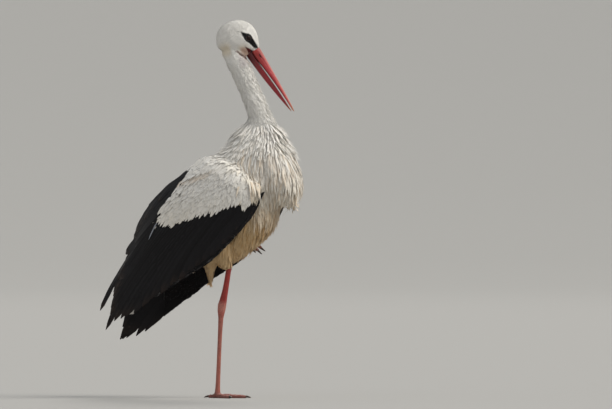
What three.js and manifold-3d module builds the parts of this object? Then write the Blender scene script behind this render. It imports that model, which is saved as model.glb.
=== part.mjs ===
// A white stork at life size, resting on its right leg with the left leg folded up under the belly,
// the wings let down over the tail and the bill turned a little to its left.
// Millimetres: +X is the way the body faces, +Y is the bird's left, +Z is up.
// The origin is on the floor under the sole of the standing foot.

import * as THREE from 'three';
import { LoftGeometry } from 'three/addons/geometries/LoftGeometry.js';
import { mergeVertices } from 'three/addons/utils/BufferGeometryUtils.js';
import Module from 'manifold-3d';

const wasm = await Module();
wasm.setup();

// ---------------------------------------------------------------- driving sizes

const GAP = 0.3;                       // clearance between touching pieces

const HEAD_CENTRE = [47, 4, 815];      // middle of the skull
const HEAD_TURN = 22;                  // degrees to the bird's left
const BILL_DIP = 61.5;                 // degrees below the horizontal
const BILL_ROOT = 36;                  // from the head's centre to the root of the bill
const BILL_TIP = 200;                  // from the head's centre to the tip of the bill
const EYE_RADIUS = 8;

const HEAD_CUT = 778;                  // height of the cut between head and neck
const NECK_CUT = 706;                  // height of the cut between the two lengths of neck
const NECK_FOOT = 636;                 // height of the cut between neck and trunk

const ANKLE = [15.6, -12, 209];        // of the standing leg
const BARE_TOP = [40, -29.5, 292];     // where its feathering ends
const FOOT_HUB = [0, 0, 7];
const PAD_RADIUS = 8.5;
const TARSUS_RADIUS = 5.2;
const SHANK_RADIUS = 6.6;
const ANKLE_RADIUS = 10.5;

const FOLDED_ANKLE = [-146, 34, 268];  // of the folded leg
const FOLDED_HUB = [33, 27, 359];

const LEFT_WING_SAG = 47;              // how much lower the left wing's tip hangs than the right one's

const COLOURS = {
  white: 0xeeeae2,
  buff: 0xcdb893,
  black: 0x14120f,
  bill: 0xb4382c,
  billDark: 0x9c2a22,
  leg: 0xa8473a,
  claw: 0x3a2a24,
  eye: 0x1d120c,
};

// ---------------------------------------------------------------- solids

const vec = (p) => new THREE.Vector3(...p);
const FORWARD = vec([1, 0, 0]);
const UP = vec([0, 0, 1]);
const DOWN = vec([0, 0, -1]);

// A closed three.js geometry as a solid that can be joined and cut.
function solid(geometry) {
  const bare = new THREE.BufferGeometry();
  bare.setAttribute('position', geometry.getAttribute('position'));
  bare.setIndex(geometry.getIndex());
  const merged = mergeVertices(bare, 1e-4);
  return new wasm.Manifold(new wasm.Mesh({
    numProp: 3,
    vertProperties: new Float32Array(merged.attributes.position.array),
    triVerts: new Uint32Array(merged.index.array),
  }));
}

function geometryOf(body) {
  const { numProp, vertProperties, triVerts } = body.getMesh();
  const positions = new Float32Array(triVerts.length * 3);
  triVerts.forEach((vertex, corner) => {
    for (let i = 0; i < 3; i += 1) positions[corner * 3 + i] = vertProperties[vertex * numProp + i];
  });
  const geometry = new THREE.BufferGeometry();
  geometry.setAttribute('position', new THREE.BufferAttribute(positions, 3));
  geometry.computeVertexNormals();
  return geometry;
}

const joined = (bodies) => bodies.reduce((whole, body) => whole.add(body));

function block(centre, size) {
  return solid(new THREE.BoxGeometry(...size).translate(...centre));
}

// Everything between two heights.
function slab(low, high) {
  return block([0, 0, (low + high) / 2], [2000, 2000, high - low]);
}

// An oval ring round `centre`, square to `along`; `reach` is how far it goes to the top, bottom and
// sides. `boxy` above 2 squares the corners of its top half.
function ring(centre, along, top, reach, corners, boxy) {
  const axis = along.clone().normalize();
  const side = new THREE.Vector3().crossVectors(axis, top).normalize();
  const rise = new THREE.Vector3().crossVectors(side, axis);
  return Array.from({ length: corners }, (_, i) => {
    const angle = (i / corners) * 2 * Math.PI;
    const c = Math.cos(angle);
    const s = Math.sin(angle);
    const square = (value) => Math.sign(value) * Math.abs(value) ** (2 / (c > 0 ? boxy : 2));
    return centre.clone()
      .addScaledVector(rise, square(c) * (c > 0 ? reach.x : reach.y))
      .addScaledVector(side, square(s) * reach.z);
  });
}

// Moves the first and last ring of a loft outwards by `grow`, along the loft's own edges.
function lengthened(rings, grow) {
  const moved = (points, next) => points.map((point, i) => (
    point.clone().addScaledVector(point.clone().sub(next[i]).normalize(), grow)
  ));
  const last = rings.length - 1;
  return [moved(rings[0], rings[1]), ...rings.slice(1, last), moved(rings[last], rings[last - 1])];
}

function loft(rings, grow) {
  return solid(new LoftGeometry(lengthened(rings, grow), { capStart: true, capEnd: true }));
}

// A smooth body through stations of [x, y, z, top, bottom, side]. The rings stand square to its run,
// or to `along` where that is given. `grow` makes it larger all round.
function body(stations, { top = UP, along = null, corners, steps, boxy = 2, grow = 0 }) {
  const run = new THREE.CatmullRomCurve3(stations.map((s) => vec(s.slice(0, 3))));
  const size = new THREE.CatmullRomCurve3(stations.map((s) => vec(s.slice(3, 6))));
  const rings = Array.from({ length: steps + 1 }, (_, i) => {
    const t = i / steps;
    const reach = size.getPoint(t).addScalar(grow);
    return ring(run.getPoint(t), along ?? run.getTangent(t), top, reach, corners, boxy);
  });
  return loft(rings, grow);
}

// A round limb through stations of [x, y, z, radius].
function limb(stations, options) {
  return body(stations.map(([x, y, z, r]) => [x, y, z, r, r, r]), options);
}

// A body built of level slices, from the top down: [height, front, back, half width].
function slices(rows, options) {
  const stations = rows.map(([z, front, back, half]) => {
    const reach = (front - back) / 2;
    return [(front + back) / 2, 0, z, reach, reach, half];
  });
  return body(stations, { along: DOWN, top: FORWARD, ...options });
}

const meshes = [];

function part(name, shape, colour, roughness) {
  const material = new THREE.MeshStandardMaterial({ color: colour, roughness, metalness: 0 });
  const mesh = new THREE.Mesh(geometryOf(shape), material);
  mesh.name = name;
  meshes.push(mesh);
}

// ---------------------------------------------------------------- head and bill

const radians = THREE.MathUtils.degToRad;
const HEAD_ALONG = vec([Math.cos(radians(BILL_DIP)), 0, -Math.sin(radians(BILL_DIP))])
  .applyAxisAngle(UP, radians(HEAD_TURN));
const HEAD_SIDE = vec([0, 1, 0]).applyAxisAngle(UP, radians(HEAD_TURN));
const HEAD_CROWN = new THREE.Vector3().crossVectors(HEAD_ALONG, HEAD_SIDE);

// A point in the head's own directions: along the bill, towards the crown, to the bird's left.
function headPoint(along, crown, side = 0) {
  return vec(HEAD_CENTRE)
    .addScaledVector(HEAD_ALONG, along)
    .addScaledVector(HEAD_CROWN, crown)
    .addScaledVector(HEAD_SIDE, side);
}

// Rows of [along, upper line, lower line, half width].
function headBody(rows, options) {
  const stations = rows.map(([along, high, low, half]) => {
    const reach = (high - low) / 2;
    return [...headPoint(along, (high + low) / 2).toArray(), reach, reach, half];
  });
  return body(stations, { along: HEAD_ALONG, top: HEAD_CROWN, ...options });
}

function skull() {
  return headBody([
    [-54, 12, -12, 8],
    [-49, 29, -26, 17],
    [-39, 42, -35, 24],
    [-26, 51, -43, 28],
    [-10, 55, -46, 30],
    [4, 54, -36, 29],
    [17, 50, -18, 24.5],
    [28, 45.5, -4, 19],
    [BILL_ROOT, 42, 3, 14.5],
  ], { corners: 14, steps: 10 });
}

function upperBill(grow = 0) {
  return headBody([
    [BILL_ROOT + GAP, 41.7, 20, 13],
    [58, 41.8, 22.4, 10.5],
    [90, 42.4, 28, 8],
    [125, 43, 32.8, 6.2],
    [163, 43.6, 36.8, 4.4],
    [190, 42.8, 38, 2.4],
    [BILL_TIP, 41.6, 40, 0.8],
  ], { corners: 10, steps: 8, grow });
}

function lowerBill(grow = 0) {
  return headBody([
    [BILL_ROOT + GAP, 19.2, 4.6, 12.4],
    [58, 20.6, 8, 9.8],
    [86, 24.8, 11.6, 7.4],
    [118, 28.8, 17.4, 5.8],
    [150, 32.2, 24.2, 4.1],
    [180, 34.8, 30.4, 2.4],
    [BILL_TIP - 3, 36, 34.4, 0.8],
  ], { corners: 10, steps: 8, grow });
}

function eyeball(side, grow = 0) {
  const place = headPoint(1, 28, side * 20.5);
  return solid(new THREE.SphereGeometry(EYE_RADIUS + grow, 10, 7).translate(...place));
}

// ---------------------------------------------------------------- neck and trunk

function neck() {
  return body([
    [128, 0, 590, 36, 36, 34],
    [116, 0, 622, 31, 31, 29],
    [101, 0, 655, 27.5, 27.5, 26],
    [87, 0, 692, 26.5, 26.5, 24.5],
    [74, 0, 719, 27, 27, 24.5],
    [61.5, 0, 747, 26.5, 26.5, 24],
    [49.5, 1, 770, 27, 27.5, 25],
    [40, 3, 792, 28, 31, 26.5],
    [38, 4, 812, 26, 29, 26],
  ], { top: FORWARD, corners: 14, steps: 9 });
}

// Ruffled collar of neck feathers, breast, belly and vent.
function torso() {
  return slices([
    [650, 128, 84, 22],
    [640, 138, 74, 29],
    [628, 151, 58, 35],
    [616, 160, 41, 42],
    [604, 167, 34, 50],
    [582, 171, 24, 62],
    [566, 174, 4, 69],
    [548, 177, -22, 76],
    [524, 178, -55, 81],
    [500, 175, -85, 84],
    [476, 168, -109, 85],
    [450, 158, -131, 82],
    [424, 152, -142, 77],
    [400, 146, -144, 71],
    [378, 133, -134, 63],
    [358, 113, -114, 54],
    [340, 91, -84, 45],
    [324, 70, -50, 33],
    [312, 56, -24, 20],
  ], { steps: 14, corners: 18, boxy: 2.6 });
}

const PLUME_TIPS = 5;

// Long pointed feathers of the lower foreneck, hanging over the breast.
function plumes() {
  const apron = slices([
    [612, 160, 92, 40],
    [590, 171, 90, 52],
    [566, 183, 90, 61],
    [542, 195, 90, 66],
    [518, 205, 90, 66],
    [494, 209, 92, 61],
    [474, 206, 98, 52],
    [460, 199, 112, 40],
    [452, 186, 130, 24],
  ], { steps: 7, corners: 14, boxy: 2.2 });
  const tips = Array.from({ length: PLUME_TIPS }, (_, i) => {
    const across = i / (PLUME_TIPS - 1) - 0.5;
    const front = 192 - 84 * across * across;
    const drop = 445 + 34 * Math.abs(across) + (i % 2) * 6;
    return limb([
      [front - 12, across * 80, 496, 13],
      [front, across * 80, 472, 10],
      [front - 6, across * 76, drop, 1.6],
    ], { corners: 6, steps: 3 });
  });
  return joined([apron, ...tips]);
}

function tail(grow = 0) {
  return body([
    [-112, 0, 392, 22, 22, 34],
    [-146, 0, 342, 12, 14, 40],
    [-176, 0, 282, 7, 8, 45],
    [-202, 0, 226, 4, 4, 46],
    [-214, 0, 200, 2.4, 2.4, 36],
    [-219, 0, 190, 1.5, 1.5, 18],
  ], { top: vec([-1, 0, 0]), corners: 12, steps: 7, grow });
}

// ---------------------------------------------------------------- wings

// Where the folded wing's upper and lower edges lie from shoulder to tip, on the right side:
// upper [x, y, z], lower [x, y, z], how far the wing bulges between them, and its thickness.
const WING_RIBS = [
  [[52, 46, 552], [112, 64, 512], 20, 9],
  [[14, 46, 560], [140, 74, 478], 35, 15],
  [[-26, 41, 548], [129, 81, 438], 41, 15],
  [[-77, 35, 512], [104, 86, 398], 42, 14],
  [[-108, 28, 492], [76, 90, 365], 42, 13],
  [[-134, 21, 474], [44, 89, 334], 42, 12],
  [[-163, 15, 448], [8, 87, 306], 40, 11],
  [[-187, 11, 416], [-38, 84, 282], 35, 10],
  [[-205, 10, 378], [-94, 79, 248], 28, 9],
  [[-220, 14, 334], [-152, 72, 214], 21, 8],
  [[-236, 22, 300], [-196, 63, 195], 13, 7],
  [[-249, 30, 272], [-228, 56, 190], 7, 6],
];
const WING_THINNING = 0.45;            // how thick the wing's edges are against its middle
const WING_SKEW = 0.86;                // under 1 the bulge lies nearer the upper edge
const WING_FULLNESS = 0.8;             // under 1 the bulge is broader

// Side is -1 for the right wing and 1 for the left one, which hangs lower towards its tip.
function sagged([x, y, z], side) {
  const out = THREE.MathUtils.clamp((20 - x) / 270, 0, 1);
  const drop = side > 0 ? LEFT_WING_SAG * out ** 1.6 : 0;
  return vec([x, side * y, z - drop]);
}

// The folded wing as a sheet: a point at `t` from shoulder (0) to tip (1) and `s` from the upper edge
// (0) to the lower edge (1), on the outer face (1), in the middle (0) or on the inner face (-1).
function wingSheet(side, grow = 0) {
  const edge = (which) => new THREE.CatmullRomCurve3(WING_RIBS.map((rib) => sagged(rib[which], side)));
  const upper = edge(0);
  const lower = edge(1);
  const fullness = new THREE.CatmullRomCurve3(WING_RIBS.map((rib) => vec([rib[2], rib[3], 0])));
  const out = vec([0, side, 0]);
  return (t, s, face) => {
    const high = upper.getPoint(t);
    const low = lower.getPoint(t);
    const stretch = low.clone().sub(high).normalize();
    const { x: bulge, y: thick } = fullness.getPoint(t);
    const hump = Math.sin(Math.PI * s ** WING_SKEW) ** WING_FULLNESS;
    const half = (thick / 2) * (WING_THINNING + (1 - WING_THINNING) * hump) + grow;
    return high.lerp(low, s)
      .addScaledVector(stretch, (2 * s - 1) * grow)
      .addScaledVector(out, bulge * hump + face * half);
  };
}

const WING_STEPS = 13;
const WING_ACROSS = 6;

function wing(side, grow = 0) {
  const sheet = wingSheet(side, grow);
  const rings = Array.from({ length: WING_STEPS + 1 }, (_, i) => {
    const layer = (face) => Array.from({ length: WING_ACROSS }, (__, j) => (
      sheet(i / WING_STEPS, j / (WING_ACROSS - 1), face)
    ));
    const loop = [...layer(1), ...layer(-1).reverse()];
    return side > 0 ? loop : loop.reverse();
  });
  return loft(rings, grow);
}

// The hem of the white coverts and scapulars, seen from the side as [x, z], from wrist to rear tip
// and up again to the back.
const COVERT_HEM = [
  [160, 486], [128, 446], [96, 430], [60, 434], [16, 420], [-40, 402],
  [-96, 391], [-146, 402], [-128, 440], [-96, 486], [-40, 528],
];

// Everything on one side of the bird that lies within that hem, grown by `margin`.
function covertRegion(side, margin = 0) {
  const points = COVERT_HEM.map(([x, z]) => new THREE.Vector2(x, sagged([x, 0, z], side).z));
  const line = new THREE.SplineCurve(points).getPoints(24);
  const hem = line.map((point, i) => {
    const before = line[Math.max(i - 1, 0)];
    const after = line[Math.min(i + 1, line.length - 1)];
    const along = after.clone().sub(before).normalize();
    return new THREE.Vector2(point.x - along.y * margin, point.y + along.x * margin);
  });
  const shape = new THREE.Shape([...hem, new THREE.Vector2(-20, 700), new THREE.Vector2(170, 700)]);
  const prism = new THREE.ExtrudeGeometry(shape, { depth: 200, bevelEnabled: false });
  prism.rotateX(Math.PI / 2);
  prism.translate(0, side > 0 ? 200 : 0, 0);
  return solid(prism);
}

const BLADE_ROOT = 0.7;                // where a primary leaves the wing's sheet, from shoulder to tip
const BLADE_RIM = 0.96;

// The tips of the primaries: where each leaves the wing's sheet, from its upper (0) to its lower edge
// (1), its tip and its width. The topmost one stands off by itself.
const PRIMARIES = [
  [0.06, [-277, 38, 199], 15],
  [0.3, [-261, 42, 183], 30],
  [0.5, [-256, 46, 170], 28],
  [0.7, [-243, 50, 170], 26],
  [0.88, [-227, 54, 181], 22],
];

// A long flight feather: a thin tapering blade whose faces look out sideways.
function blade(side, [across, tip, width]) {
  const sheet = wingSheet(side);
  const end = sagged(tip, side);
  const rim = sheet(BLADE_RIM, across, 0);
  const places = [sheet(BLADE_ROOT, across, 0), rim, rim.clone().lerp(end, 0.6), end];
  const stations = [0.8, 1, 0.8, 0.08].map((share, i) => {
    const reach = (width / 2) * share;
    return [...places[i].toArray(), reach, reach, 1.6];
  });
  return body(stations, { corners: 6, steps: 5 });
}

// ---------------------------------------------------------------- legs

// Feathered thigh, with the tuft of loose feathers that hangs behind it.
const standingThigh = (grow = 0) => joined([feathering(grow), tuft(grow)]);

const feathering = (grow) => limb([
  [2, -44, 400, 44],
  [18, -44, 362, 37],
  [30, -38, 330, 24],
  [38, -32, 308, 14],
  [...BARE_TOP, 9],
], { corners: 12, steps: 6, grow });

const tuft = (grow) => limb([
  [2, -46, 350, 24],
  [2, -44, 318, 20],
  [1, -41, 290, 10],
  [-1, -39, 264, 2],
], { corners: 8, steps: 4, grow });

const standingShank = () => limb([
  [44, -33, 312, SHANK_RADIUS],
  [35, -26.5, 272, SHANK_RADIUS],
  [24.5, -19, 234, SHANK_RADIUS + 1.4],
  [...ANKLE, ANKLE_RADIUS],
  [12.5, -9.8, 184, TARSUS_RADIUS + 1.2],
  [9, -7.4, 140, TARSUS_RADIUS],
  [3.5, -3, 60, TARSUS_RADIUS],
  [0.6, -0.6, 18, TARSUS_RADIUS + 1],
  [...FOOT_HUB, PAD_RADIUS],
], { top: FORWARD, corners: 8, steps: 14 });

const foldedThigh = (grow = 0) => limb([
  [62, 46, 396, 36],
  [24, 47, 368, 33],
  [-24, 43, 338, 25],
  [-62, 39, 315, 15],
  [-84, 37, 302, 9],
], { corners: 12, steps: 6, grow });

const foldedShank = (grow = 0) => limb([
  [-70, 39, 311, SHANK_RADIUS],
  [-106, 36.5, 290, SHANK_RADIUS + 0.6],
  [...FOLDED_ANKLE, ANKLE_RADIUS],
  [FOLDED_ANKLE[0] - 7, FOLDED_ANKLE[1], FOLDED_ANKLE[2] - 4, ANKLE_RADIUS - 4],
], { corners: 8, steps: 6, grow });

const foldedTarsus = (grow = 0) => limb([
  [...FOLDED_ANKLE, ANKLE_RADIUS - 3],
  [-124, 33, 278, TARSUS_RADIUS + 1.4],
  [-80, 31.5, 300, TARSUS_RADIUS],
  [-10, 29, 336, TARSUS_RADIUS],
  [20, 27.5, 352, TARSUS_RADIUS + 0.6],
  [...FOLDED_HUB, 8],
], { corners: 8, steps: 8, grow });

// Toes of each foot: name, direction in degrees from straight ahead (to the left), length without claw.
const TOES = [
  ['inner', 42, 54],
  ['middle', 2, 70],
  ['outer', -40, 60],
  ['hind', 176, 22],
];
const TOE_SINK = 1.5;                  // how far the toe pads are pressed flat
const TOE_WIDTHS = [7, 5.3, 5.9, 4.6, 5.1, 3.9];
const CLAW_LENGTH = 12;

const direction = (degrees) => vec([Math.cos(radians(degrees)), Math.sin(radians(degrees)), 0]);

// A toe laid along the floor; its pads sink a little below the floor and are cut off level there.
function standingToe(degrees, length, grow = 0) {
  const stations = TOE_WIDTHS.map((radius, i) => {
    const place = direction(degrees).multiplyScalar((i / (TOE_WIDTHS.length - 1)) * length);
    return [place.x, place.y, radius - TOE_SINK, radius];
  });
  return limb(stations, { corners: 6, steps: 5, grow });
}

function standingClaw(degrees, length) {
  const at = (distance, z, radius) => {
    const place = direction(degrees).multiplyScalar(distance);
    return [place.x, place.y, z, radius];
  };
  return limb([
    at(length - 4, 4.2, 3),
    at(length + CLAW_LENGTH * 0.5, 3.4, 2.3),
    at(length + CLAW_LENGTH, 1.4, 0.7),
  ], { corners: 6, steps: 3 });
}

// A toe of the folded foot: forward from the hub in three joints, each bent further down by `bend`.
function curledToe(spread, length, bend) {
  const run = [vec(FOLDED_HUB)];
  const lean = [-0.1, 0.16, 0.6].map((share) => share + bend);
  lean.forEach((angle) => {
    const step = direction(spread).multiplyScalar(Math.cos(angle));
    step.z = -Math.sin(angle);
    run.push(run[run.length - 1].clone().addScaledVector(step, length / 3));
  });
  const last = run[3].clone().sub(run[2]).normalize();
  return { run, widths: [5.8, 4.8, 5, 3.7], last };
}

// Each folded toe: name, direction, length, bend in radians.
const FOLDED_TOES = [
  ['inner', -13, 54, 0.12],
  ['middle', -1, 70, 0],
  ['outer', 11, 60, 0.14],
  ['hind', 172, 20, 1.2],
];

const toeSolid = ({ run, widths }, grow = 0) => (
  limb(run.map((p, i) => [...p.toArray(), widths[i]]), { corners: 6, steps: 4, grow, top: vec([0, 1, 0]) })
);

function curledClaw({ run, last }, grow = 0) {
  const tip = run[3].clone().addScaledVector(last, CLAW_LENGTH);
  const root = run[3].clone().addScaledVector(last, -3);
  const middle = root.clone().lerp(tip, 0.55);
  return limb([
    [...root.toArray(), 2.8],
    [...middle.toArray(), 2.2],
    [...tip.toArray(), 0.7],
  ], { corners: 6, steps: 3, top: vec([0, 1, 0]), grow });
}

// ---------------------------------------------------------------- putting the bird together

const SIDES = [['right', -1], ['left', 1]];
const HIGH = 1000;
const FOOT_CUT = 24;                   // height of the cut between the standing foot and its tarsus
const TARSUS_CUT = ANKLE[2] - 16;      // and of the one just under the ankle
const FOLDED_FOOT_CUT = FOLDED_HUB[0] - 9; // where the folded foot is parted from its tarsus
const WING_CUT = -165;                 // where the wing tip is parted from the rest of the wing

const less = (shape, ...rooms) => rooms.reduce((left, room) => left.subtract(room), shape);
const between = (shape, low, high) => shape.intersect(slab(low, high));
const ahead = (shape, x) => shape.intersect(block([x + 500, 0, 500], [1000, 1000, 1000]));
const behind = (shape, x) => shape.intersect(block([x - 500, 0, 500], [1000, 1000, 1000]));

const wingRoom = joined(SIDES.map(([, side]) => wing(side, GAP)));
const foldedToes = FOLDED_TOES.map(([name, ...shape]) => [name, curledToe(...shape)]);

// Room that the folded leg takes out of the belly feathers it lies against.
const foldedRoom = joined([
  foldedShank(GAP),
  foldedTarsus(GAP),
  ...foldedToes.map(([, toe]) => joined([toeSolid(toe, GAP), curledClaw(toe, GAP)])),
]);

function addHead() {
  const shape = joined([skull(), between(neck(), HEAD_CUT, HIGH)]);
  part('head', less(shape, eyeball(-1, GAP), eyeball(1, GAP), lowerBill(GAP)), COLOURS.white, 0.9);
  part('bill_upper', upperBill(), COLOURS.bill, 0.4);
  part('bill_lower', lowerBill(), COLOURS.billDark, 0.4);
  SIDES.forEach(([name, side]) => part(`eye_${name}`, eyeball(side), COLOURS.eye, 0.1));
}

function addNeckAndTrunk() {
  const whole = joined([neck(), torso(), plumes()]);
  const upper = between(neck(), NECK_CUT + GAP, HEAD_CUT - GAP);
  part('neck_upper', less(upper, lowerBill(GAP)), COLOURS.white, 0.9);
  part('neck_lower', between(whole, NECK_FOOT + GAP, NECK_CUT), COLOURS.white, 0.9);
  const trunk = less(
    between(whole, 0, NECK_FOOT),
    wingRoom,
    tail(GAP),
    standingThigh(GAP),
    foldedThigh(GAP),
    foldedRoom,
  );
  part('trunk', trunk, COLOURS.white, 0.9);
  part('tail', less(tail(), wingRoom), COLOURS.white, 0.8);
}

function addWing(name, side) {
  const panel = wing(side);
  const feathers = PRIMARIES.map((primary) => blade(side, primary));
  const coverts = covertRegion(side);
  const rest = panel.subtract(covertRegion(side, GAP));
  part(`wing_${name}_coverts`, panel.intersect(coverts), COLOURS.white, 0.8);
  part(`wing_${name}_secondaries`, ahead(rest, WING_CUT), COLOURS.black, 0.6);
  part(`wing_${name}_primaries`, behind(joined([rest, ...feathers]), WING_CUT - GAP), COLOURS.black, 0.6);
}

function addStandingLeg() {
  const toes = TOES.map(([, degrees, length]) => standingToe(degrees, length));
  const shank = standingShank();
  const pad = solid(new THREE.SphereGeometry(PAD_RADIUS, 8, 6).translate(...FOOT_HUB));
  const foot = between(joined([shank, pad, ...toes]), 0, FOOT_CUT);
  const toeRoom = joined(TOES.map(([, degrees, length]) => standingToe(degrees, length, GAP)));
  part('leg_right_thigh', less(standingThigh(), wingRoom), COLOURS.buff, 0.9);
  const bareShank = less(between(shank, TARSUS_CUT + GAP, HIGH), standingThigh(GAP));
  part('leg_right_shank', bareShank, COLOURS.leg, 0.5);
  part('leg_right_tarsus', between(shank, FOOT_CUT + GAP, TARSUS_CUT), COLOURS.leg, 0.6);
  part('leg_right_foot', foot, COLOURS.leg, 0.6);
  TOES.forEach(([name, degrees, length]) => {
    const claw = between(standingClaw(degrees, length), 0, HIGH);
    part(`claw_right_${name}`, less(claw, toeRoom), COLOURS.claw, 0.5);
  });
}

function addFoldedLeg() {
  const toes = foldedToes.map(([, toe]) => toeSolid(toe));
  const toeRoom = joined(foldedToes.map(([, toe]) => toeSolid(toe, GAP)));
  part('leg_left_thigh', less(foldedThigh(), wingRoom, foldedTarsus(GAP), toeRoom), COLOURS.buff, 0.9);
  part('leg_left_shank', less(foldedShank(), foldedThigh(GAP)), COLOURS.leg, 0.5);
  const tarsus = foldedTarsus();
  part('leg_left_tarsus', less(behind(tarsus, FOLDED_FOOT_CUT - GAP), foldedShank(GAP)), COLOURS.leg, 0.6);
  part('leg_left_foot', ahead(joined([tarsus, ...toes]), FOLDED_FOOT_CUT), COLOURS.leg, 0.6);
  foldedToes.forEach(([name, toe]) => {
    part(`claw_left_${name}`, less(curledClaw(toe), toeRoom), COLOURS.claw, 0.5);
  });
}

addHead();
addNeckAndTrunk();
SIDES.forEach(([name, side]) => addWing(name, side));
addStandingLeg();
addFoldedLeg();

const stork = new THREE.Group();
stork.name = 'white_stork';
stork.add(...meshes);

export default stork;
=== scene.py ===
# The looks of a life-size white stork: skin, plumage, bill, eyes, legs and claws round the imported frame.
# Sizes are in millimetres, times MM where Blender reads them; +X is the way the body faces, +Y its left.

import math

import bpy
import numpy as np
from mathutils import Matrix, Vector
from mathutils.bvhtree import BVHTree
from mathutils.kdtree import KDTree


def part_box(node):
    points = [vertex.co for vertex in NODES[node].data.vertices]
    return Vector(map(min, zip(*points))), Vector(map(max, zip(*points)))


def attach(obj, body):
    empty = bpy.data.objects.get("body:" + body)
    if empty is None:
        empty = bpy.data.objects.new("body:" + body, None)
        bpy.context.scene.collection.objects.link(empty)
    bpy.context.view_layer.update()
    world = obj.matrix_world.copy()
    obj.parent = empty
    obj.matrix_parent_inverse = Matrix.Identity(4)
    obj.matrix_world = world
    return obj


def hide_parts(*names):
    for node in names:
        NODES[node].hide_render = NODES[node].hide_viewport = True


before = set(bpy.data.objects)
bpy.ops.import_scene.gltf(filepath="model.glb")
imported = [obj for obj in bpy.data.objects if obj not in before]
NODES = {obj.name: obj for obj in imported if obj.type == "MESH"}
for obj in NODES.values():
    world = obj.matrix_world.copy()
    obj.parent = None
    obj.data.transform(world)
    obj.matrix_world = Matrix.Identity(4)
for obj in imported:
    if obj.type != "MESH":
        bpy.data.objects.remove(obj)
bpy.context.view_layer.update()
MM = 0.001
rng = np.random.default_rng(7)

# ------------------------------------------------------------------ driving sizes

SIDES = {"right": -1, "left": 1}
HEAD_TURN = math.radians(22)           # to the bird's left
BILL_DIP = math.radians(61.5)          # below the horizontal
EYE_PLACE = (1, 28, 20.5)              # in the head's own directions: along, to the crown, outwards
BILL_ROOT = 36
BILL_TIP = 200

SKIN_VOXEL = 2.4 * MM
LEG_VOXEL = 1.0 * MM
SKIN_KEPT = 0.34                       # share of the skin's faces that are kept where it is plain
LEG_KEPT = 0.6
FACE_FLOOR = 772 * MM                  # above this and in front of FACE_BACK the skin stays fine
FACE_BACK = -22                        # in the head's own directions
CLOSE_SEAMS = 0.5 * MM                 # how far copies are grown so that they run together

# How deep the coat is over each part of the body.
COAT_DEPTH = {
    "head": 2.6,
    "neck_upper": 3.6,
    "neck_lower": 4.5,
    "trunk": 8,
    "tail": 6,
    "wing_right_coverts": 4,
    "wing_left_coverts": 4,
    "wing_right_secondaries": 3,
    "wing_left_secondaries": 3,
    "leg_right_thigh": 5,
    "leg_left_thigh": 5,
}
BODY_NODES = list(COAT_DEPTH)
LEG_NODES = [f"leg_{side}_{part}" for side in SIDES for part in ("shank", "tarsus", "foot")]
TOES = ("inner", "middle", "outer", "hind")

ANKLE = (15.6, -12, 209)               # of the standing leg
BARE_TOP = (40, -29.5, 292)            # where its feathering ends
FOLDED_ANKLE = (-146, 34, 268)
FOLDED_HUB = (33, 27, 359)             # where the toes of the folded foot meet

WHITE = (0.83, 0.81, 0.77)
CREAM = (0.80, 0.72, 0.58)
# buff of the belly: partly its stains, partly painted warm light thrown up from the ground
BUFF_STAIN_AND_GROUND_LIGHT = (0.66, 0.47, 0.25)
BLACK = (0.0065, 0.006, 0.007)
BROWN = (0.16, 0.10, 0.07)
STAIN = (0.74, 0.60, 0.38)
# brown under the scapulars' hem: partly stain, partly their painted shadow
STAIN_AND_SHADOW_BROWN = (0.50, 0.34, 0.19)
ASTRAY_GREY = (0.34, 0.36, 0.40)
# painted shade in the fold under the jaw
FOLD_SHADE_BROWN = (0.13, 0.055, 0.045)
GAPE_RED = (0.10, 0.012, 0.014)
SLATE = (0.022, 0.020, 0.026)
CHEEK_BUFF = (0.58, 0.36, 0.27)
# painted shade on the throat under the jaw
THROAT_SHADE_GREY = (0.30, 0.24, 0.26)
SHANK_RED = (0.38, 0.036, 0.028)
JOINT_PINK = (0.60, 0.24, 0.19)
TARSUS_PINK = (0.42, 0.13, 0.095)
TOE_BROWN = (0.22, 0.085, 0.07)
CLAW_DARK = (0.022, 0.014, 0.011)
CLAW_WORN = (0.12, 0.075, 0.05)


# ------------------------------------------------------------------ small helpers

def pick_none():
    bpy.ops.object.select_all(action="DESELECT")


def pick(piece):
    pick_none()
    piece.select_set(True)
    bpy.context.view_layer.objects.active = piece
    return piece


def modified(piece, kind, **settings):
    """Puts a modifier on a piece and applies it."""
    pick(piece)
    modifier = piece.modifiers.new(kind.lower(), kind)
    for name, value in settings.items():
        setattr(modifier, name, value)
    bpy.ops.object.modifier_apply(modifier=modifier.name)
    return piece


def joined(pieces, name):
    """One object of several, which keeps each one's materials."""
    pick(pieces[0])
    for piece in pieces[1:]:
        piece.select_set(True)
    bpy.ops.object.join()
    pieces[0].name = name
    return pieces[0]


def in_scene(name, data):
    """A new object for a mesh, a lamp or a camera."""
    made = bpy.data.objects.new(name, data)
    bpy.context.scene.collection.objects.link(made)
    return made


def edit_all():
    """Opens the active piece for editing with all of it selected."""
    bpy.ops.object.mode_set(mode="EDIT")
    bpy.ops.mesh.select_all(action="SELECT")


def edit_done():
    bpy.ops.object.mode_set(mode="OBJECT")


def faced_out():
    """Turns the active piece's faces outwards and leaves edit mode."""
    edit_all()
    bpy.ops.mesh.normals_make_consistent(inside=False)
    edit_done()


def extruded(move, scale, centre=(0, 0, 0)):
    """Draws what is selected out by `move`, then scales its new end about `centre`."""
    bpy.ops.mesh.extrude_region_move(TRANSFORM_OT_translate={"value": move, "orient_type": "GLOBAL"})
    bpy.ops.transform.resize(value=scale, center_override=centre)


def select_in_edit(piece, faces=None, edges=None):
    """Selects faces or edges by their numbers and stays in edit mode."""
    pick(piece)
    bpy.ops.object.mode_set(mode="EDIT")
    bpy.ops.mesh.select_mode(type="EDGE" if faces is None else "FACE")
    bpy.ops.mesh.select_all(action="DESELECT")
    bpy.ops.object.mode_set(mode="OBJECT")
    chosen = piece.data.edges if faces is None else piece.data.polygons
    for number in edges if faces is None else faces:
        chosen[number].select = True
    bpy.ops.object.mode_set(mode="EDIT")


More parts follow.
